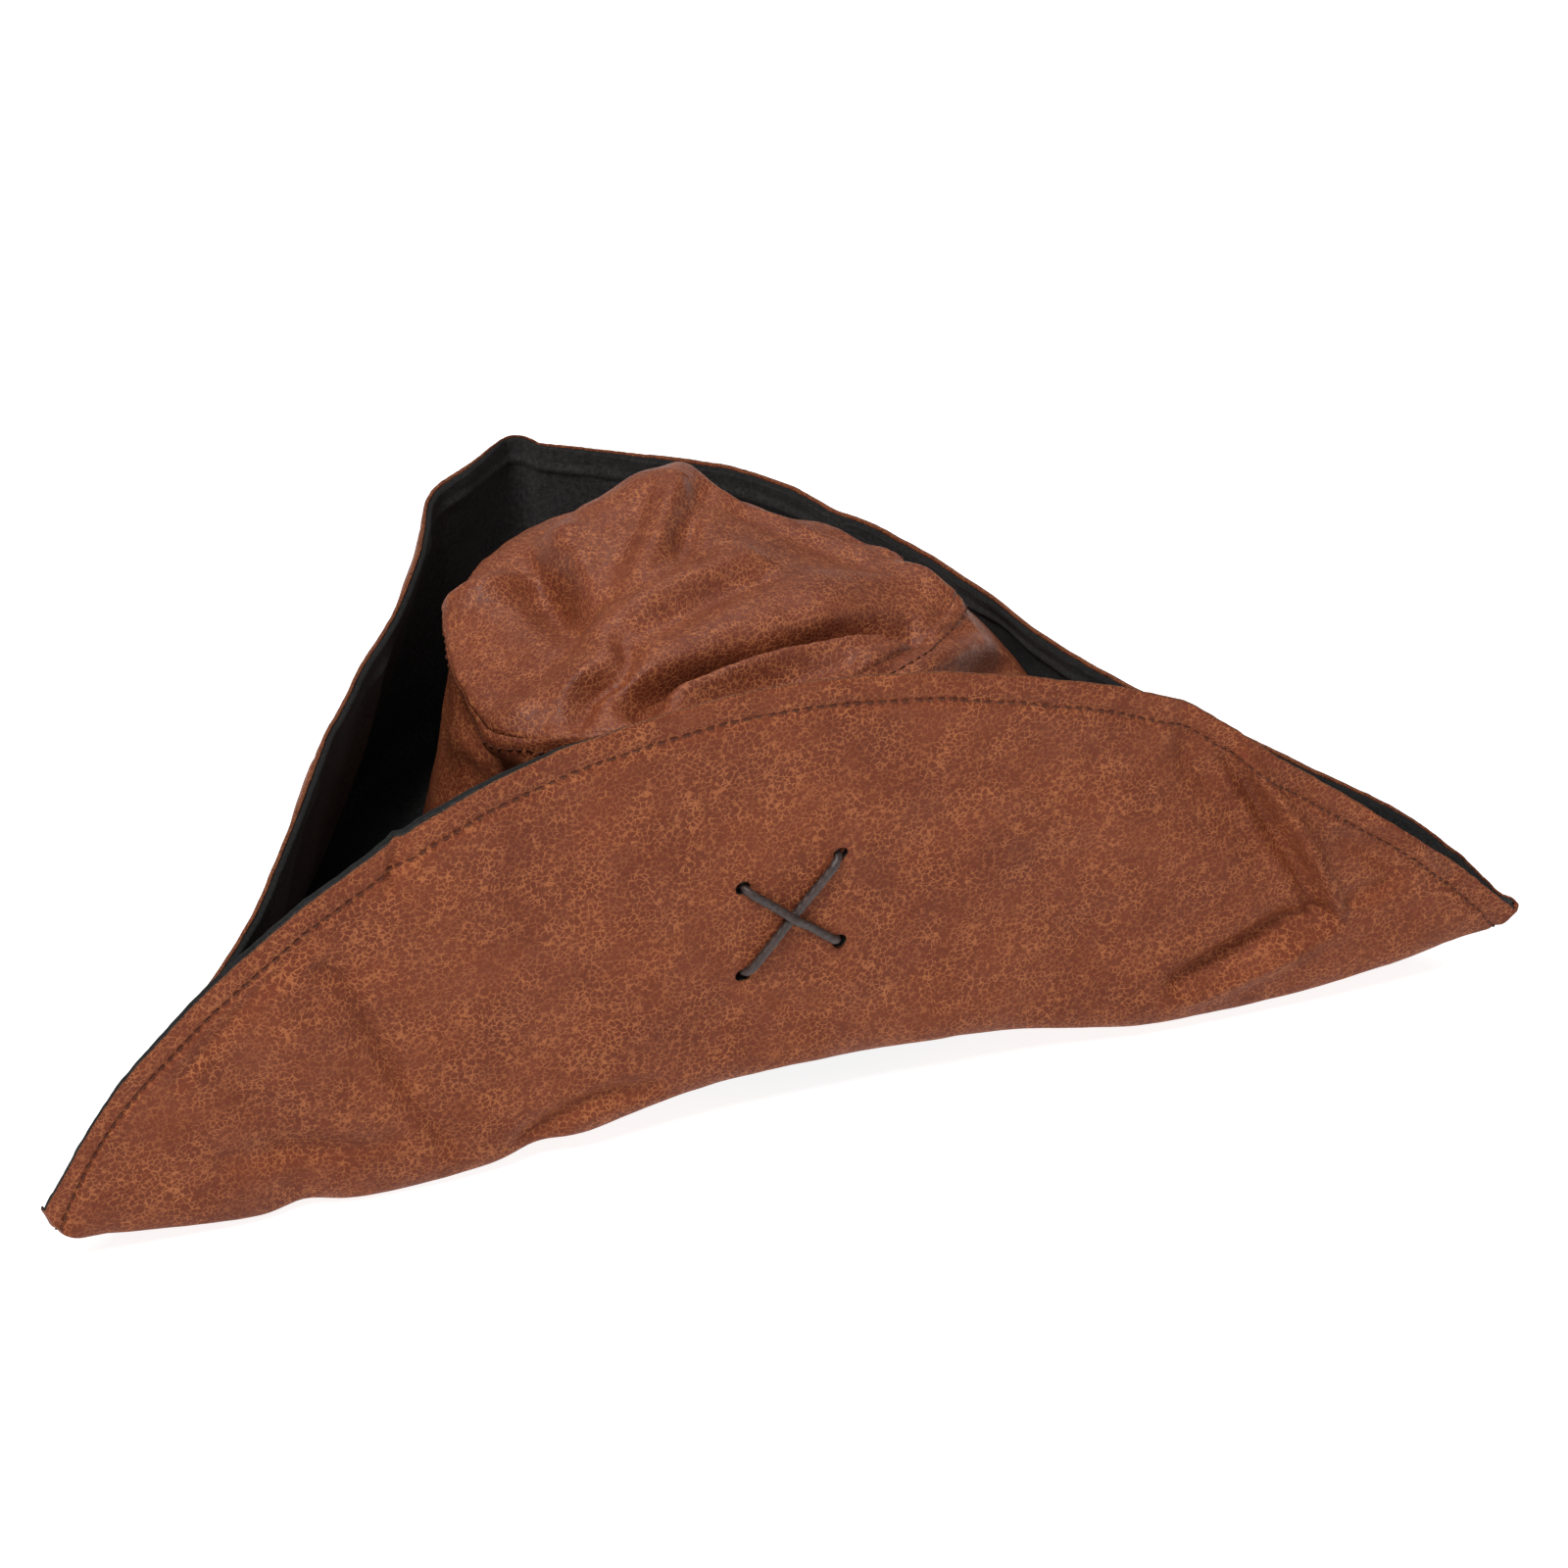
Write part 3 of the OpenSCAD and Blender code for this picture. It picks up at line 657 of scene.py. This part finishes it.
def punch(obj, material):
    """The lacing's four round holes, each with a wall of the given material."""
    for side, level in ((-1, -1), (1, -1), (1, 1), (-1, 1)):
        centre, _ = on_flap(*hole_place(side, level))
        depth = np.array([0, HOLE_REACH, 0])
        cutter = tube("cutter", [centre - depth, centre + depth], HOLE_D / 2, material, 28)
        cut = obj.modifiers.new("hole", "BOOLEAN")
        cut.operation = "DIFFERENCE"
        cut.solver = "EXACT"
        cut.object = cutter
        with bpy.context.temp_override(object=obj, active_object=obj):
            bpy.ops.object.modifier_apply(modifier=cut.name)
        bpy.data.objects.remove(cutter)
    obj.data.polygons.foreach_set("use_smooth", [True] * len(obj.data.polygons))
    note_rest(obj)


def bend_with(obj):
    """The piece with its placing baked into its mesh."""
    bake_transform(obj)


FELT_SHOWS_FROM, FELT_SHOWS_OVER = -60.0, 50.0  # x where the felt's edge starts to show, and to show fully
# How far short of the suede's edge the felt ends, on the side flaps and on the front one, and its gain there
FELT_SHORT, FELT_HIDDEN, FELT_RISE = 0.5, 1.3, 1.8


def felt_reach(name, rim):
    """How far the felt's cut edge stands out past the suede's. It shows on the front flap's left half."""
    ragged = uneven(rim, FELT_RAGGED)
    if name != "front":
        return ragged - FELT_SHORT
    left = np.clip((FELT_SHOWS_FROM - rim[:, 0]) / FELT_SHOWS_OVER, 0, 1)
    return ragged - FELT_HIDDEN + FELT_RISE * left * left * (3 - 2 * left)


def room_at_ends(grid):
    """Share of the full thickness for each column. The cloths are pinched thin near the corners."""
    fold = grid[:, FOLD_ROW]
    gap = np.minimum(np.linalg.norm(fold - fold[0], axis=1), np.linalg.norm(fold - fold[-1], axis=1))
    near = np.clip(gap / CORNER_REACH, 0, 1)
    return (CORNER_SHARE + (1 - CORNER_SHARE) * near * near * (3 - 2 * near))[:, None, None]


def brim_sector(name, suede, suede_edge, felt, felt_edge_painted_shade):
    """Suede and felt of one flap, with the floor and fold below it."""
    grid, out = flap_part(name)
    out = out * room_at_ends(grid)
    cloth = sheet_mesh(name + "_brim_suede", grid, drawn_in(grid - out * SUEDE_T), [suede, suede_edge])
    back = SUEDE_T + LAYER_GAP
    lining = stretched(grid, felt_reach(name, grid[:, -1]))
    faces = [drawn_in(lining - out * depth) for depth in (back, back + FELT_T)]
    stiff = sheet_mesh(name + "_brim_felt", *faces, [felt, felt_edge_painted_shade])
    if name == "front":
        punch(cloth, suede_edge)
        punch(stiff, felt_edge_painted_shade)
    for obj, kind in ((cloth, "suede"), (stiff, "felt")):
        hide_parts(f"{name}_flap_{kind}", f"brim_base_{kind}")
        bend_with(obj)
    return cloth, stiff


def edge_stitching(name, thread):
    """Line of stitches a little in from the flap's edge."""
    grid, out = flap_part(name)
    inward = from_edge(grid)
    rows = [np.interp(STITCH_IN, d[::-1], np.arange(len(d))[::-1]) for d in inward]
    line, up = [], []
    for i, row in enumerate(rows):
        j, f = int(row), row % 1
        line.append(grid[i, j] * (1 - f) + grid[i, j + 1] * f)
        up.append(out[i, j])
    line, up = np.array(line), np.array(up)
    obj = stitch_row(name + "_edge_stitches", line, up, thread)
    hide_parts(name + "_flap_stitching")
    bend_with(obj)
    return obj


# ---------------------------------------------------------------- crown

CROWN_COLUMNS = 400
BAND_U = np.linspace(0, 1, 56)
SEAM_ROW = len(BAND_U) - 1
TIP_V = 1 - np.linspace(0, 1, 72) ** 1.12 * 0.975  # from the seam at 1 to the small cap on the peak


def band_bulge(angle, u):
    """How far the side band stands out from the straight line between its foot and its top seam."""
    def side(facing, width):
        return bell(np.angle(np.exp(1j * (angle - np.radians(facing)))) / np.radians(width))

    slack = BAND_SLACK
    for facing, width, amount in BAND_BULGES:
        slack = slack + amount * side(facing, width)
    return slack[:, None] * np.sin(np.pi * u[None] ** 1.1)


def crown_surface():
    """Face of the side band with the tip above it, as one grid of columns, and its normals."""
    rim = even(SEAM, CROWN_COLUMNS, closed=True)
    middle = rim.mean(0)
    angle = np.arctan2(rim[:, 1] - middle[1], rim[:, 0] - middle[0])
    outward = outward_at(angle)
    foot = outward * HEAD_R + [0, 0, FOOT_Z]
    u = BAND_U[None, :, None]
    bulge = outward[:, None] * band_bulge(angle, BAND_U)[..., None]
    band = foot[:, None] * (1 - u) + rim[:, None] * u + bulge
    v = TIP_V[None, :, None]
    peak = np.array([*TIP_PEAK, rim[:, 2].mean()])
    around = np.arctan2(rim[:, 1] - peak[1], rim[:, 0] - peak[0])
    hollow = (0.5 + 0.5 * np.cos(around - np.radians(TIP_HOLLOW_SIDE)))[:, None, None]
    rise = (1 - hollow) * (1 - v**2) + hollow * (1 - v) ** 1.2
    tip = peak * (1 - v) + rim[:, None] * v + np.array([0, 0, TIP_RISE]) * rise
    grid = np.concatenate([band, tip[:, 1:]], axis=1)
    looseness = np.concatenate([BAND_U**0.6, np.ones(len(TIP_V) - 1)])[None, :, None]
    push = folded(grid, CROWN_FOLDS) + uneven(grid, CROWN_WAVES)
    lean = sum(stroke(grid, line, 1.0, width)[..., None] * np.array(shift)
               for line, shift, width in CROWN_LEANS)
    grid = grid + (normals(grid) * push[..., None] + lean) * looseness
    run = from_foot(grid)
    from_seam = np.abs(run - run[:, SEAM_ROW:SEAM_ROW + 1])
    grid = grid + normals(grid) * stitch_groove(from_seam, width=0.9)[..., None]
    return grid, normals(grid)


crown_grid, crown_out = crown_surface()
near_peak = np.clip(1 - TIP_V / 0.2, 0, 1)[None, :, None]
tip_out = crown_out[:, SEAM_ROW:]
tip_out = unit(tip_out * (1 - near_peak) + tip_out.mean(0) * near_peak)
tip_grid = crown_grid[:, SEAM_ROW:]
band_grid, band_out = crown_grid[:, :SEAM_ROW + 1], crown_out[:, :SEAM_ROW + 1]


def crown_layers(suede, suede_edge, lining):
    """Side band and tip in suede, and the dark cloth that lines them."""
    pieces = {}
    for name, grid, out, cap in (("band", band_grid, band_out, False), ("tip", tip_grid, tip_out, True)):
        outer = sheet_mesh("crown_" + name + "_suede", grid, grid - out * SUEDE_T,
                           [suede, suede_edge], ring=True, cap=cap)
        back = SUEDE_T + LAYER_GAP
        inner = sheet_mesh("crown_" + name + "_cloth", grid - out * back, grid - out * (back + LINING_T),
                           [lining, lining], ring=True, cap=cap)
        replace_nodes(outer, ROOT, "suede", "crown_" + name)
        replace_nodes(inner, ROOT, "lining", "crown_" + name + "_lining")
        pieces[name] = outer, inner
    return pieces


SEAM_STITCH_IN, FOOT_STITCH_U = 3.0, 0.06  # below the seam in mm, and share of the band's height


def crown_stitching(thread):
    """Stitches beside the tip's seam and round the crown's foot."""
    inward = np.cumsum(np.linalg.norm(np.diff(band_grid[:, ::-1], axis=1), axis=2), axis=1)
    row = len(BAND_U) - 2 - np.array([np.searchsorted(d, SEAM_STITCH_IN) for d in inward])
    pick = np.arange(CROWN_COLUMNS)
    loop = np.append(pick, 0)
    top = stitch_row("tip_seam_stitches", band_grid[pick, row][loop], band_out[pick, row][loop], thread)
    replace_nodes(top, ROOT, "thread", "tip_seam_stitching")
    low = np.searchsorted(BAND_U, FOOT_STITCH_U)
    foot = stitch_row("foot_seam_stitches", band_grid[loop, low], band_out[loop, low], thread)
    replace_nodes(foot, ROOT, "thread", "foot_seam_stitching")
    return top, foot


def crown_radius(angle, heights):
    """Radius of the side band's face at each angle and height, as an array of angles by heights."""
    turn = np.arctan2(band_grid[:, 0, 1], band_grid[:, 0, 0])
    reach = np.hypot(band_grid[..., 0], band_grid[..., 1])
    at_heights = np.stack([np.interp(heights, z, r) for z, r in zip(band_grid[..., 2], reach)])
    return np.stack([np.interp(angle, turn, ring, period=2 * np.pi) for ring in at_heights.T], 1)


TAPE_START, TAPE_TURNS = 92.0, 1.035  # angle of the tape's first end in degrees, and turns with the lap
TAPE_FOOT_Z, TAPE_CLEAR, LAP_CLEAR = FOOT_Z + 0.6, 0.75, 0.15


def sweatband(tape, thread):
    """Soft tape round the inside of the head opening, its ends lapped at the back, and its stitches."""
    n, rows = 360, np.linspace(0, 1, 14)
    angle = np.radians(TAPE_START) + np.linspace(0, 2 * np.pi * TAPE_TURNS, n)
    lap = np.clip((np.linspace(0, TAPE_TURNS, n) - 1.0) / 0.008, 0, 1)
    out = outward_at(angle)
    wall = np.minimum(crown_radius(angle, TAPE_FOOT_Z + rows * (SWEATBAND_H - 1)), HEAD_R + 0.4)
    radius = wall - SUEDE_T - LINING_T - TAPE_CLEAR - (lap * (SWEATBAND_T + LAP_CLEAR))[:, None]
    sway = 0.5 * np.sin(angle * 5 + 1) + 0.3 * np.sin(angle * 11)
    grid = out[:, None] * radius[..., None]
    grid[..., 2] = TAPE_FOOT_Z + rows[None] * (SWEATBAND_H - 1 + 0.3 * sway[:, None])
    top_slack = rows[None] ** 2 * (0.5 + 0.5 * np.sin(angle * 7 + 2))[:, None] * 0.9
    roll = 0.35 * bell((rows - 0.93) / 0.05)[None]
    grid -= out[:, None] * (top_slack - roll)[..., None]
    band = sheet_mesh("sweatband_tape", grid, grid - out[:, None] * SWEATBAND_T, [tape, tape])
    replace_nodes(band, ROOT, "sweatband", "sweatband")
    share = np.searchsorted(rows, 0.16)
    inner = grid[:, share] - out * (SWEATBAND_T + 0.05)
    keep = slice(0, n - 14)
    seam = stitch_row("sweatband_stitches", inner[keep], -out[keep], thread)
    replace_nodes(seam, ROOT, "thread", "sweatband_stitching")
    return band, seam


# ---------------------------------------------------------------- lacing


def rounded(points, radius):
    """Closed path with each corner rounded."""
    p = np.asarray(points, float)
    path = []
    for i in range(len(p)):
        before, after = p[i - 1] - p[i], p[(i + 1) % len(p)] - p[i]
        r = min(radius, 0.45 * np.linalg.norm(before), 0.45 * np.linalg.norm(after))
        a, b = p[i] + unit(before) * r, p[i] + unit(after) * r
        path += [bend(a, p[i], b, u) for u in np.linspace(0, 1, 6)]
    return np.array(path)


def lace_tube(name, path, material, sides=14, closed=False):
    """Length of the lace, a cord of twisted strands."""
    return tube(name, path, LACE_D / 2, material, sides, closed, LACE_TWIST, LACE_STRANDS, LACE_RELIEF)


def lace_strand(a, b, crossing):
    """Strand on the flap's face between two holes. It dips at each end over the hole's near edge."""
    points = []
    for share in (0.0, 0.05, 0.1, 0.2, 0.32, 0.42, 0.5, 0.58, 0.68, 0.8, 0.9, 0.95, 1.0):
        place, out = on_flap(*(a * (1 - share) + b * share))
        from_hole = min(share, 1 - share)
        sink = -1.5 * bell(from_hole / 0.035)
        hump = crossing * bell((share - 0.5) / 0.11)
        points.append(place + out * (LACE_D / 2 - 0.05 + sink + hump))
    return points


def behind_flap(a):
    """Point where the lace lies against the felt, inside the flap."""
    place, out = on_flap(*a)
    return place - out * (SUEDE_T + LAYER_GAP + FELT_T + LACE_D / 2 + 0.1)


def lace_knot(centre, material):
    """Tied knot with two short tails, behind the felt."""
    t = np.linspace(0, 2 * np.pi, 110, endpoint=False)
    ring = 2.4 + 1.2 * np.cos(3 * t)
    loop = np.stack([ring * np.cos(2 * t), 1.4 * np.sin(3 * t), ring * np.sin(2 * t)], 1)
    parts = [lace_tube("knot", centre + loop, material, closed=True)]
    for way, drop in ((-1, 19), (1, 25)):
        tail = even([centre + [way * 2, 0.5, -1], centre + [way * 5, 1.5, -6],
                     centre + [way * 6.5, 1.0, -drop * 0.6], centre + [way * 5.5, 0.2, -drop]], 44)
        parts.append(lace_tube("tail", tail, material))
    return parts


def make_lace(material):
    """Waxed lace of the front flap: two crossed strands outside, two runs and a knot behind the felt."""
    middle = np.array(LACING[:2])
    holes = [hole_place(*c) for c in ((-1, 1), (1, 1), (-1, -1), (1, -1))]
    ul, ur, ll, lr = [hole + unit(middle - hole) * (HOLE_D - LACE_D) / 2 for hole in holes]
    knot = (behind_flap(ll) + behind_flap(ul)) / 2
    right_run = [behind_flap(lr), behind_flap((lr + ur) / 2), behind_flap(ur)]
    left_run = [behind_flap(ll), knot, behind_flap(ul)]
    route = lace_strand(ul, lr, LACE_D * 0.8) + right_run + lace_strand(ur, ll, -0.1) + left_run
    path = even(rounded(route, 1.4)[::2], 900, closed=True)
    parts = [lace_tube("loop", path, material, sides=18, closed=True)]
    parts += lace_knot(knot + [0, 1.8, 0], material)
    obj = joined("front_lacing", parts)
    replace_nodes(obj, "front_flap", "lace", "front_lace")
    return obj


# ---------------------------------------------------------------- materials


def rgb(r, g, b):
    """Linear colour from an sRGB one given in 0 to 255."""
    c = np.array([r, g, b]) / 255
    linear = np.where(c <= 0.04045, c / 12.92, ((c + 0.055) / 1.055) ** 2.4)
    return (*(float(x) for x in linear), 1.0)


class Graph:
    """Short way to build a material's nodes. Textures read each point's place at rest, in mm."""

    def __init__(self, name):
        self.material = bpy.data.materials.new(name)
        self.material.use_nodes = True
        self.tree = self.material.node_tree
        self.tree.nodes.clear()
        rest = self.add("ShaderNodeAttribute", attribute_name="rest").outputs["Vector"]
        self.place = self.vector("SCALE", rest, scale=1000.0)

    def add(self, kind, inputs=None, **settings):
        """Node of a kind. Each input is a socket to link or a value."""
        node = self.tree.nodes.new(kind)
        for key, value in settings.items():
            setattr(node, key, value)
        for key, value in (inputs or {}).items():
            if isinstance(value, bpy.types.NodeSocket):
                self.tree.links.new(value, node.inputs[key])
            else:
                node.inputs[key].default_value = value
        return node

    def math(self, operation, a, b=0.0):
        return self.add("ShaderNodeMath", {0: a, 1: b}, operation=operation).outputs[0]

    def vector(self, operation, a, b=(0, 0, 0), scale=1.0):
        inputs = {0: a, 3: scale} if operation == "SCALE" else {0: a, 1: b}
        return self.add("ShaderNodeVectorMath", inputs, operation=operation).outputs[0]

    def noise(self, size, detail=3.0, roughness=0.5, part="Fac"):
        """Noise with features of about this size in mm."""
        inputs = {"Vector": self.place, "Scale": 1 / size, "Detail": detail, "Roughness": roughness}
        return self.add("ShaderNodeTexNoise", inputs).outputs[part]

    def cells(self, size, place, feature="DISTANCE_TO_EDGE", part="Distance"):
        """Cells of about this size in mm."""
        inputs = {"Vector": place, "Scale": 1 / size, "Randomness": 1.0}
        return self.add("ShaderNodeTexVoronoi", inputs, feature=feature).outputs[part]

    def step(self, value, low, high, to_low=0.0, to_high=1.0):
        """Smooth step of a value from one range to another."""
        inputs = {"Value": value, "From Min": low, "From Max": high, "To Min": to_low, "To Max": to_high}
        return self.add("ShaderNodeMapRange", inputs, interpolation_type="SMOOTHSTEP").outputs["Result"]

    def mix(self, share, a, b):
        """Colour between a and b."""
        return self.add("ShaderNodeMix", {0: share, 6: a, 7: b}, data_type="RGBA").outputs[2]

    def bump(self, height, depth, strength=1.0, under=None):
        """Relief of a depth in mm."""
        inputs = {"Height": height, "Distance": depth * MM, "Strength": strength}
        if under is not None:
            inputs["Normal"] = under
        return self.add("ShaderNodeBump", inputs).outputs["Normal"]

    def finish(self, **inputs):
        """The material, with a shader that takes the inputs named."""
        shader = self.add("ShaderNodeBsdfPrincipled", {k.replace("_", " "): v for k, v in inputs.items()})
        out = self.add("ShaderNodeOutputMaterial")
        self.tree.links.new(shader.outputs[0], out.inputs[0])
        return self.material


def suede_material(name, gloss):
    """Brown cloth printed like cracked leather: orange veins round dark cells, rubbed smooth in patches."""
    g = Graph(name)
    shift = g.vector("SUBTRACT", g.noise(1.3, 2.0, part="Color"), (0.5, 0.5, 0.5))
    bent = g.vector("ADD", g.place, g.vector("SCALE", shift, scale=1.3))
    edge = g.cells(1.55, bent)
    tint = g.cells(1.55, bent, "F1", "Color")
    broken = g.step(g.noise(1.8, 2.0, 0.5), 0.32, 0.52)
    vein = g.math("MULTIPLY", g.step(edge, 0.01, 0.15, 1.0, 0.0), broken)
    patch = g.step(g.noise(9, 5.0, 0.65), 0.34, 0.62, 0.40, 1.0)
    strength = g.math("MULTIPLY", vein, patch)
    ground = g.mix(g.step(g.noise(26, 5.0, 0.6), 0.34, 0.66), rgb(102, 48, 29), rgb(116, 57, 34))
    ground = g.mix(g.math("MULTIPLY", tint, 0.28), ground, rgb(88, 37, 22))
    rubbed = g.step(g.noise(10, 5.0, 0.7), 0.48, 0.64, 0.0, 0.4)
    ground = g.mix(rubbed, ground, rgb(117, 60, 38))
    colour = g.mix(strength, ground, rgb(159, 95, 58))
    raised = g.step(edge, 0.0, 0.2)
    fuzz = g.noise(0.35, 2.0, 0.7)
    relief = g.bump(raised, 0.12, 0.8, g.bump(g.noise(5, 4.0, 0.6), 0.3, 0.6))
    relief = g.bump(fuzz, 0.045, 0.6, relief)
    roughness = g.step(g.noise(12, 3.0, 0.6), 0.3, 0.7, 0.60 - gloss, 0.74 - gloss)
    return g.finish(Base_Color=colour, Roughness=roughness, Normal=relief, Specular_IOR_Level=0.1 + gloss)


def suede_edge_material():
    """Cut edge of the brown cloth: fibrous and darker than its face."""
    g = Graph("suede_cut_edge")
    fibres = g.noise(0.5, 4.0, 0.7)
    colour = g.mix(g.step(fibres, 0.35, 0.65), rgb(66, 34, 25), rgb(138, 82, 52))
    return g.finish(Base_Color=colour, Roughness=0.9, Normal=g.bump(fibres, 0.25), Specular_IOR_Level=0.2)


def felt_material(name, tone, sheen):
    """Stiff black felt: matted fibres that catch a little light. A low tone gives a darker copy, painted
    shade for the cut edge.
    """
    def toned(level, warmth):
        return rgb(level * tone, (level - 1) * tone, (level - warmth) * tone)

    g = Graph(name)
    mat = g.noise(1.3, 5.0, 0.75)
    cloud = g.noise(22, 4.0, 0.6)
    colour = g.mix(g.step(mat, 0.35, 0.7), toned(27, 1), toned(54, 2))
    colour = g.mix(g.step(cloud, 0.4, 0.65, 0.0, 0.4), colour, toned(50, 1))
    relief = g.bump(mat, 0.3, 0.8, g.bump(g.noise(0.35, 3.0, 0.7), 0.12, 0.8))
    return g.finish(Base_Color=colour, Roughness=0.95, Normal=relief, Specular_IOR_Level=0.25,
                    Sheen_Weight=sheen, Sheen_Roughness=0.6, Sheen_Tint=rgb(150, 148, 146))


def weave_material(name, dark, light, pitch, roughness):
    """Plain woven cloth: two sets of threads that pass over and under each other round the crown, painted
    darker where they dip under as painted shade.
    """
    g = Graph(name)
    parts = g.add("ShaderNodeSeparateXYZ", {0: g.place}).outputs
    angle = g.math("ARCTAN2", parts[1], parts[0])
    across = g.math("MULTIPLY", angle, HEAD_R * 2 * np.pi / pitch)
    reach = g.add("ShaderNodeVectorMath", {0: g.vector("MULTIPLY", g.place, (1, 1, 0))}, operation="LENGTH")
    up = g.math("MULTIPLY", g.math("SUBTRACT", parts[2], reach.outputs[1]), 2 * np.pi / pitch)
    warp, weft = g.math("SINE", across), g.math("SINE", up)
    cross = g.math("MULTIPLY", warp, weft)
    height = g.math("MULTIPLY_ADD", cross, 0.5)
    height.node.inputs[2].default_value = 0.5
    fibres = g.noise(0.4, 3.0, 0.7)
    # Painted shade: the threads are darker where the weave dips and lighter where it rises; soft random
    # patches lighten it.
    shade = g.mix(g.step(g.noise(18, 3.0), 0.35, 0.65, 0.0, 0.35), g.mix(height, dark, light), light)
    relief = g.bump(height, 0.16, 0.8, g.bump(fibres, 0.06, 0.7))
    return g.finish(Base_Color=shade, Roughness=roughness, Normal=relief, Specular_IOR_Level=0.35,
                    Sheen_Weight=0.12, Sheen_Roughness=0.5)


def thread_material():
    """Dark brown sewing thread, twisted, with painted shade in the grooves of the twist."""
    g = Graph("thread")
    parts = g.add("ShaderNodeSeparateXYZ", {0: g.place}).outputs
    diagonal = g.math("ADD", g.math("ADD", parts[0], parts[1]), parts[2])
    turn = g.math("SINE", g.math("MULTIPLY", diagonal, 11.0))
    # Painted shade: darker in the grooves of the twist and lighter on its ridges, following the same wave as
    # the bump.
    colour = g.mix(g.step(turn, -0.6, 0.8), rgb(58, 27, 17), rgb(98, 51, 33))
    return g.finish(Base_Color=colour, Roughness=0.6, Normal=g.bump(turn, 0.05, 0.8),
                    Specular_IOR_Level=0.25)


def lace_material():
    """Waxed grey-brown cord with a fine braided surface."""
    g = Graph("lace")
    streak = g.noise(0.7, 4.0, 0.65)
    worn = g.noise(4, 3.0, 0.6)
    colour = g.mix(g.step(streak, 0.35, 0.65), rgb(34, 24, 22), rgb(60, 45, 41))
    colour = g.mix(g.step(worn, 0.5, 0.7, 0.0, 0.4), colour, rgb(76, 58, 52))
    return g.finish(Base_Color=colour, Roughness=0.5, Normal=g.bump(streak, 0.1, 0.7),
                    Specular_IOR_Level=0.5)


def floor_material():
    """Pale floor that gives off light of its own, so that shadows on it are faint."""
    g = Graph("studio_floor")
    shade = g.mix(g.step(g.noise(900, 2.0), 0.3, 0.7), rgb(176, 176, 176), rgb(178, 178, 178))
    return g.finish(Base_Color=shade, Roughness=0.9, Specular_IOR_Level=0.1,
                    Emission_Color=rgb(255, 255, 255), Emission_Strength=0.88)


# ---------------------------------------------------------------- build

suede_brim = suede_material("suede_brim", 0.04)
suede_crown = suede_material("suede_crown", 0.16)
suede_edge = suede_edge_material()
# The felt's cut edge is the same felt at tone 0.6 against 1.12, without sheen: painted shade on the rim that
# the lamps light.
felt, felt_edge_painted_shade = felt_material("felt", 1.12, 0.08), felt_material("felt_cut_edge_painted_shade", 0.6, 0.0)
# Each weave's dark and light colours: the painted shade in its hollows and the threads' tops.
lining = weave_material("lining_cloth", rgb(16, 15, 15), rgb(44, 41, 40), 0.9, 0.8)
tape = weave_material("sweatband_tape", rgb(14, 13, 13), rgb(48, 45, 44), 1.3, 0.6)
thread, lace = thread_material(), lace_material()

sectors = {name: brim_sector(name, suede_brim, suede_edge, felt, felt_edge_painted_shade) for name in FLAPS}
trimmings = {name: [edge_stitching(name, thread)] for name in FLAPS}
trimmings["front"].append(make_lace(lace))
layers = crown_layers(suede_crown, suede_edge, lining)
tip_stitches, foot_stitches = crown_stitching(thread)
tape_band, tape_stitches = sweatband(tape, thread)


# ---------------------------------------------------------------- camera, light and floor


def look_from(obj, azimuth, elevation, distance, target):
    """Turn an object at a distance from the target so that it faces the target."""
    a, e = np.radians([azimuth, elevation])
    back = Vector((np.sin(a) * np.cos(e), -np.cos(a) * np.cos(e), np.sin(e)))
    obj.location = Vector(target) + back * distance
    obj.rotation_euler = back.to_track_quat("Z", "Y").to_euler()


# Azimuth and elevation in degrees, and distance in metres; for a light also size in metres and power in W
CAMERA_VIEW, CAMERA_TARGET = (-20.0, 30.0, 1.325), (0.042, 0.068, 0.0)
LIGHT_TARGET = (0.0, 0.0, 0.05)
SOFTBOXES = {
    "key_light": (-43.0, 55.0, 1.7, 0.6, 27.0),
    "fill_light": (50.0, 40.0, 2.2, 1.6, 5.0),
    "back_light": (165.0, 60.0, 2.0, 1.2, 12.0),
}
WORLD_STRENGTH = 0.17


def add_camera():
    data = bpy.data.cameras.new("camera")
    data.lens, data.sensor_width = 100.0, 36.0
    camera = placed("camera", data)
    look_from(camera, *CAMERA_VIEW, CAMERA_TARGET)
    bpy.context.scene.camera = camera


def add_softbox(name, azimuth, elevation, distance, size, power):
    data = bpy.data.lights.new(name, "AREA")
    data.shape, data.size, data.energy = "DISK", size, power
    look_from(placed(name, data), azimuth, elevation, distance, LIGHT_TARGET)


def add_floor():
    mesh = bpy.data.meshes.new("studio_floor")
    half = 6.0
    corners = [(-half, -half, 0), (half, -half, 0), (half, half, 0), (-half, half, 0)]
    mesh.from_pydata(corners, [], [(0, 1, 2, 3)])
    mesh.materials.append(floor_material())
    floor = placed("studio_floor", mesh)


add_camera()
for light_name, light_settings in SOFTBOXES.items():
    add_softbox(light_name, *light_settings)
add_floor()

world = bpy.data.worlds.new("studio")
world.use_nodes = True
world.node_tree.nodes["Background"].inputs[0].default_value = (1, 1, 1, 1)
world.node_tree.nodes["Background"].inputs[1].default_value = WORLD_STRENGTH
bpy.context.scene.world = world
bpy.context.scene.view_settings.view_transform = "Standard"
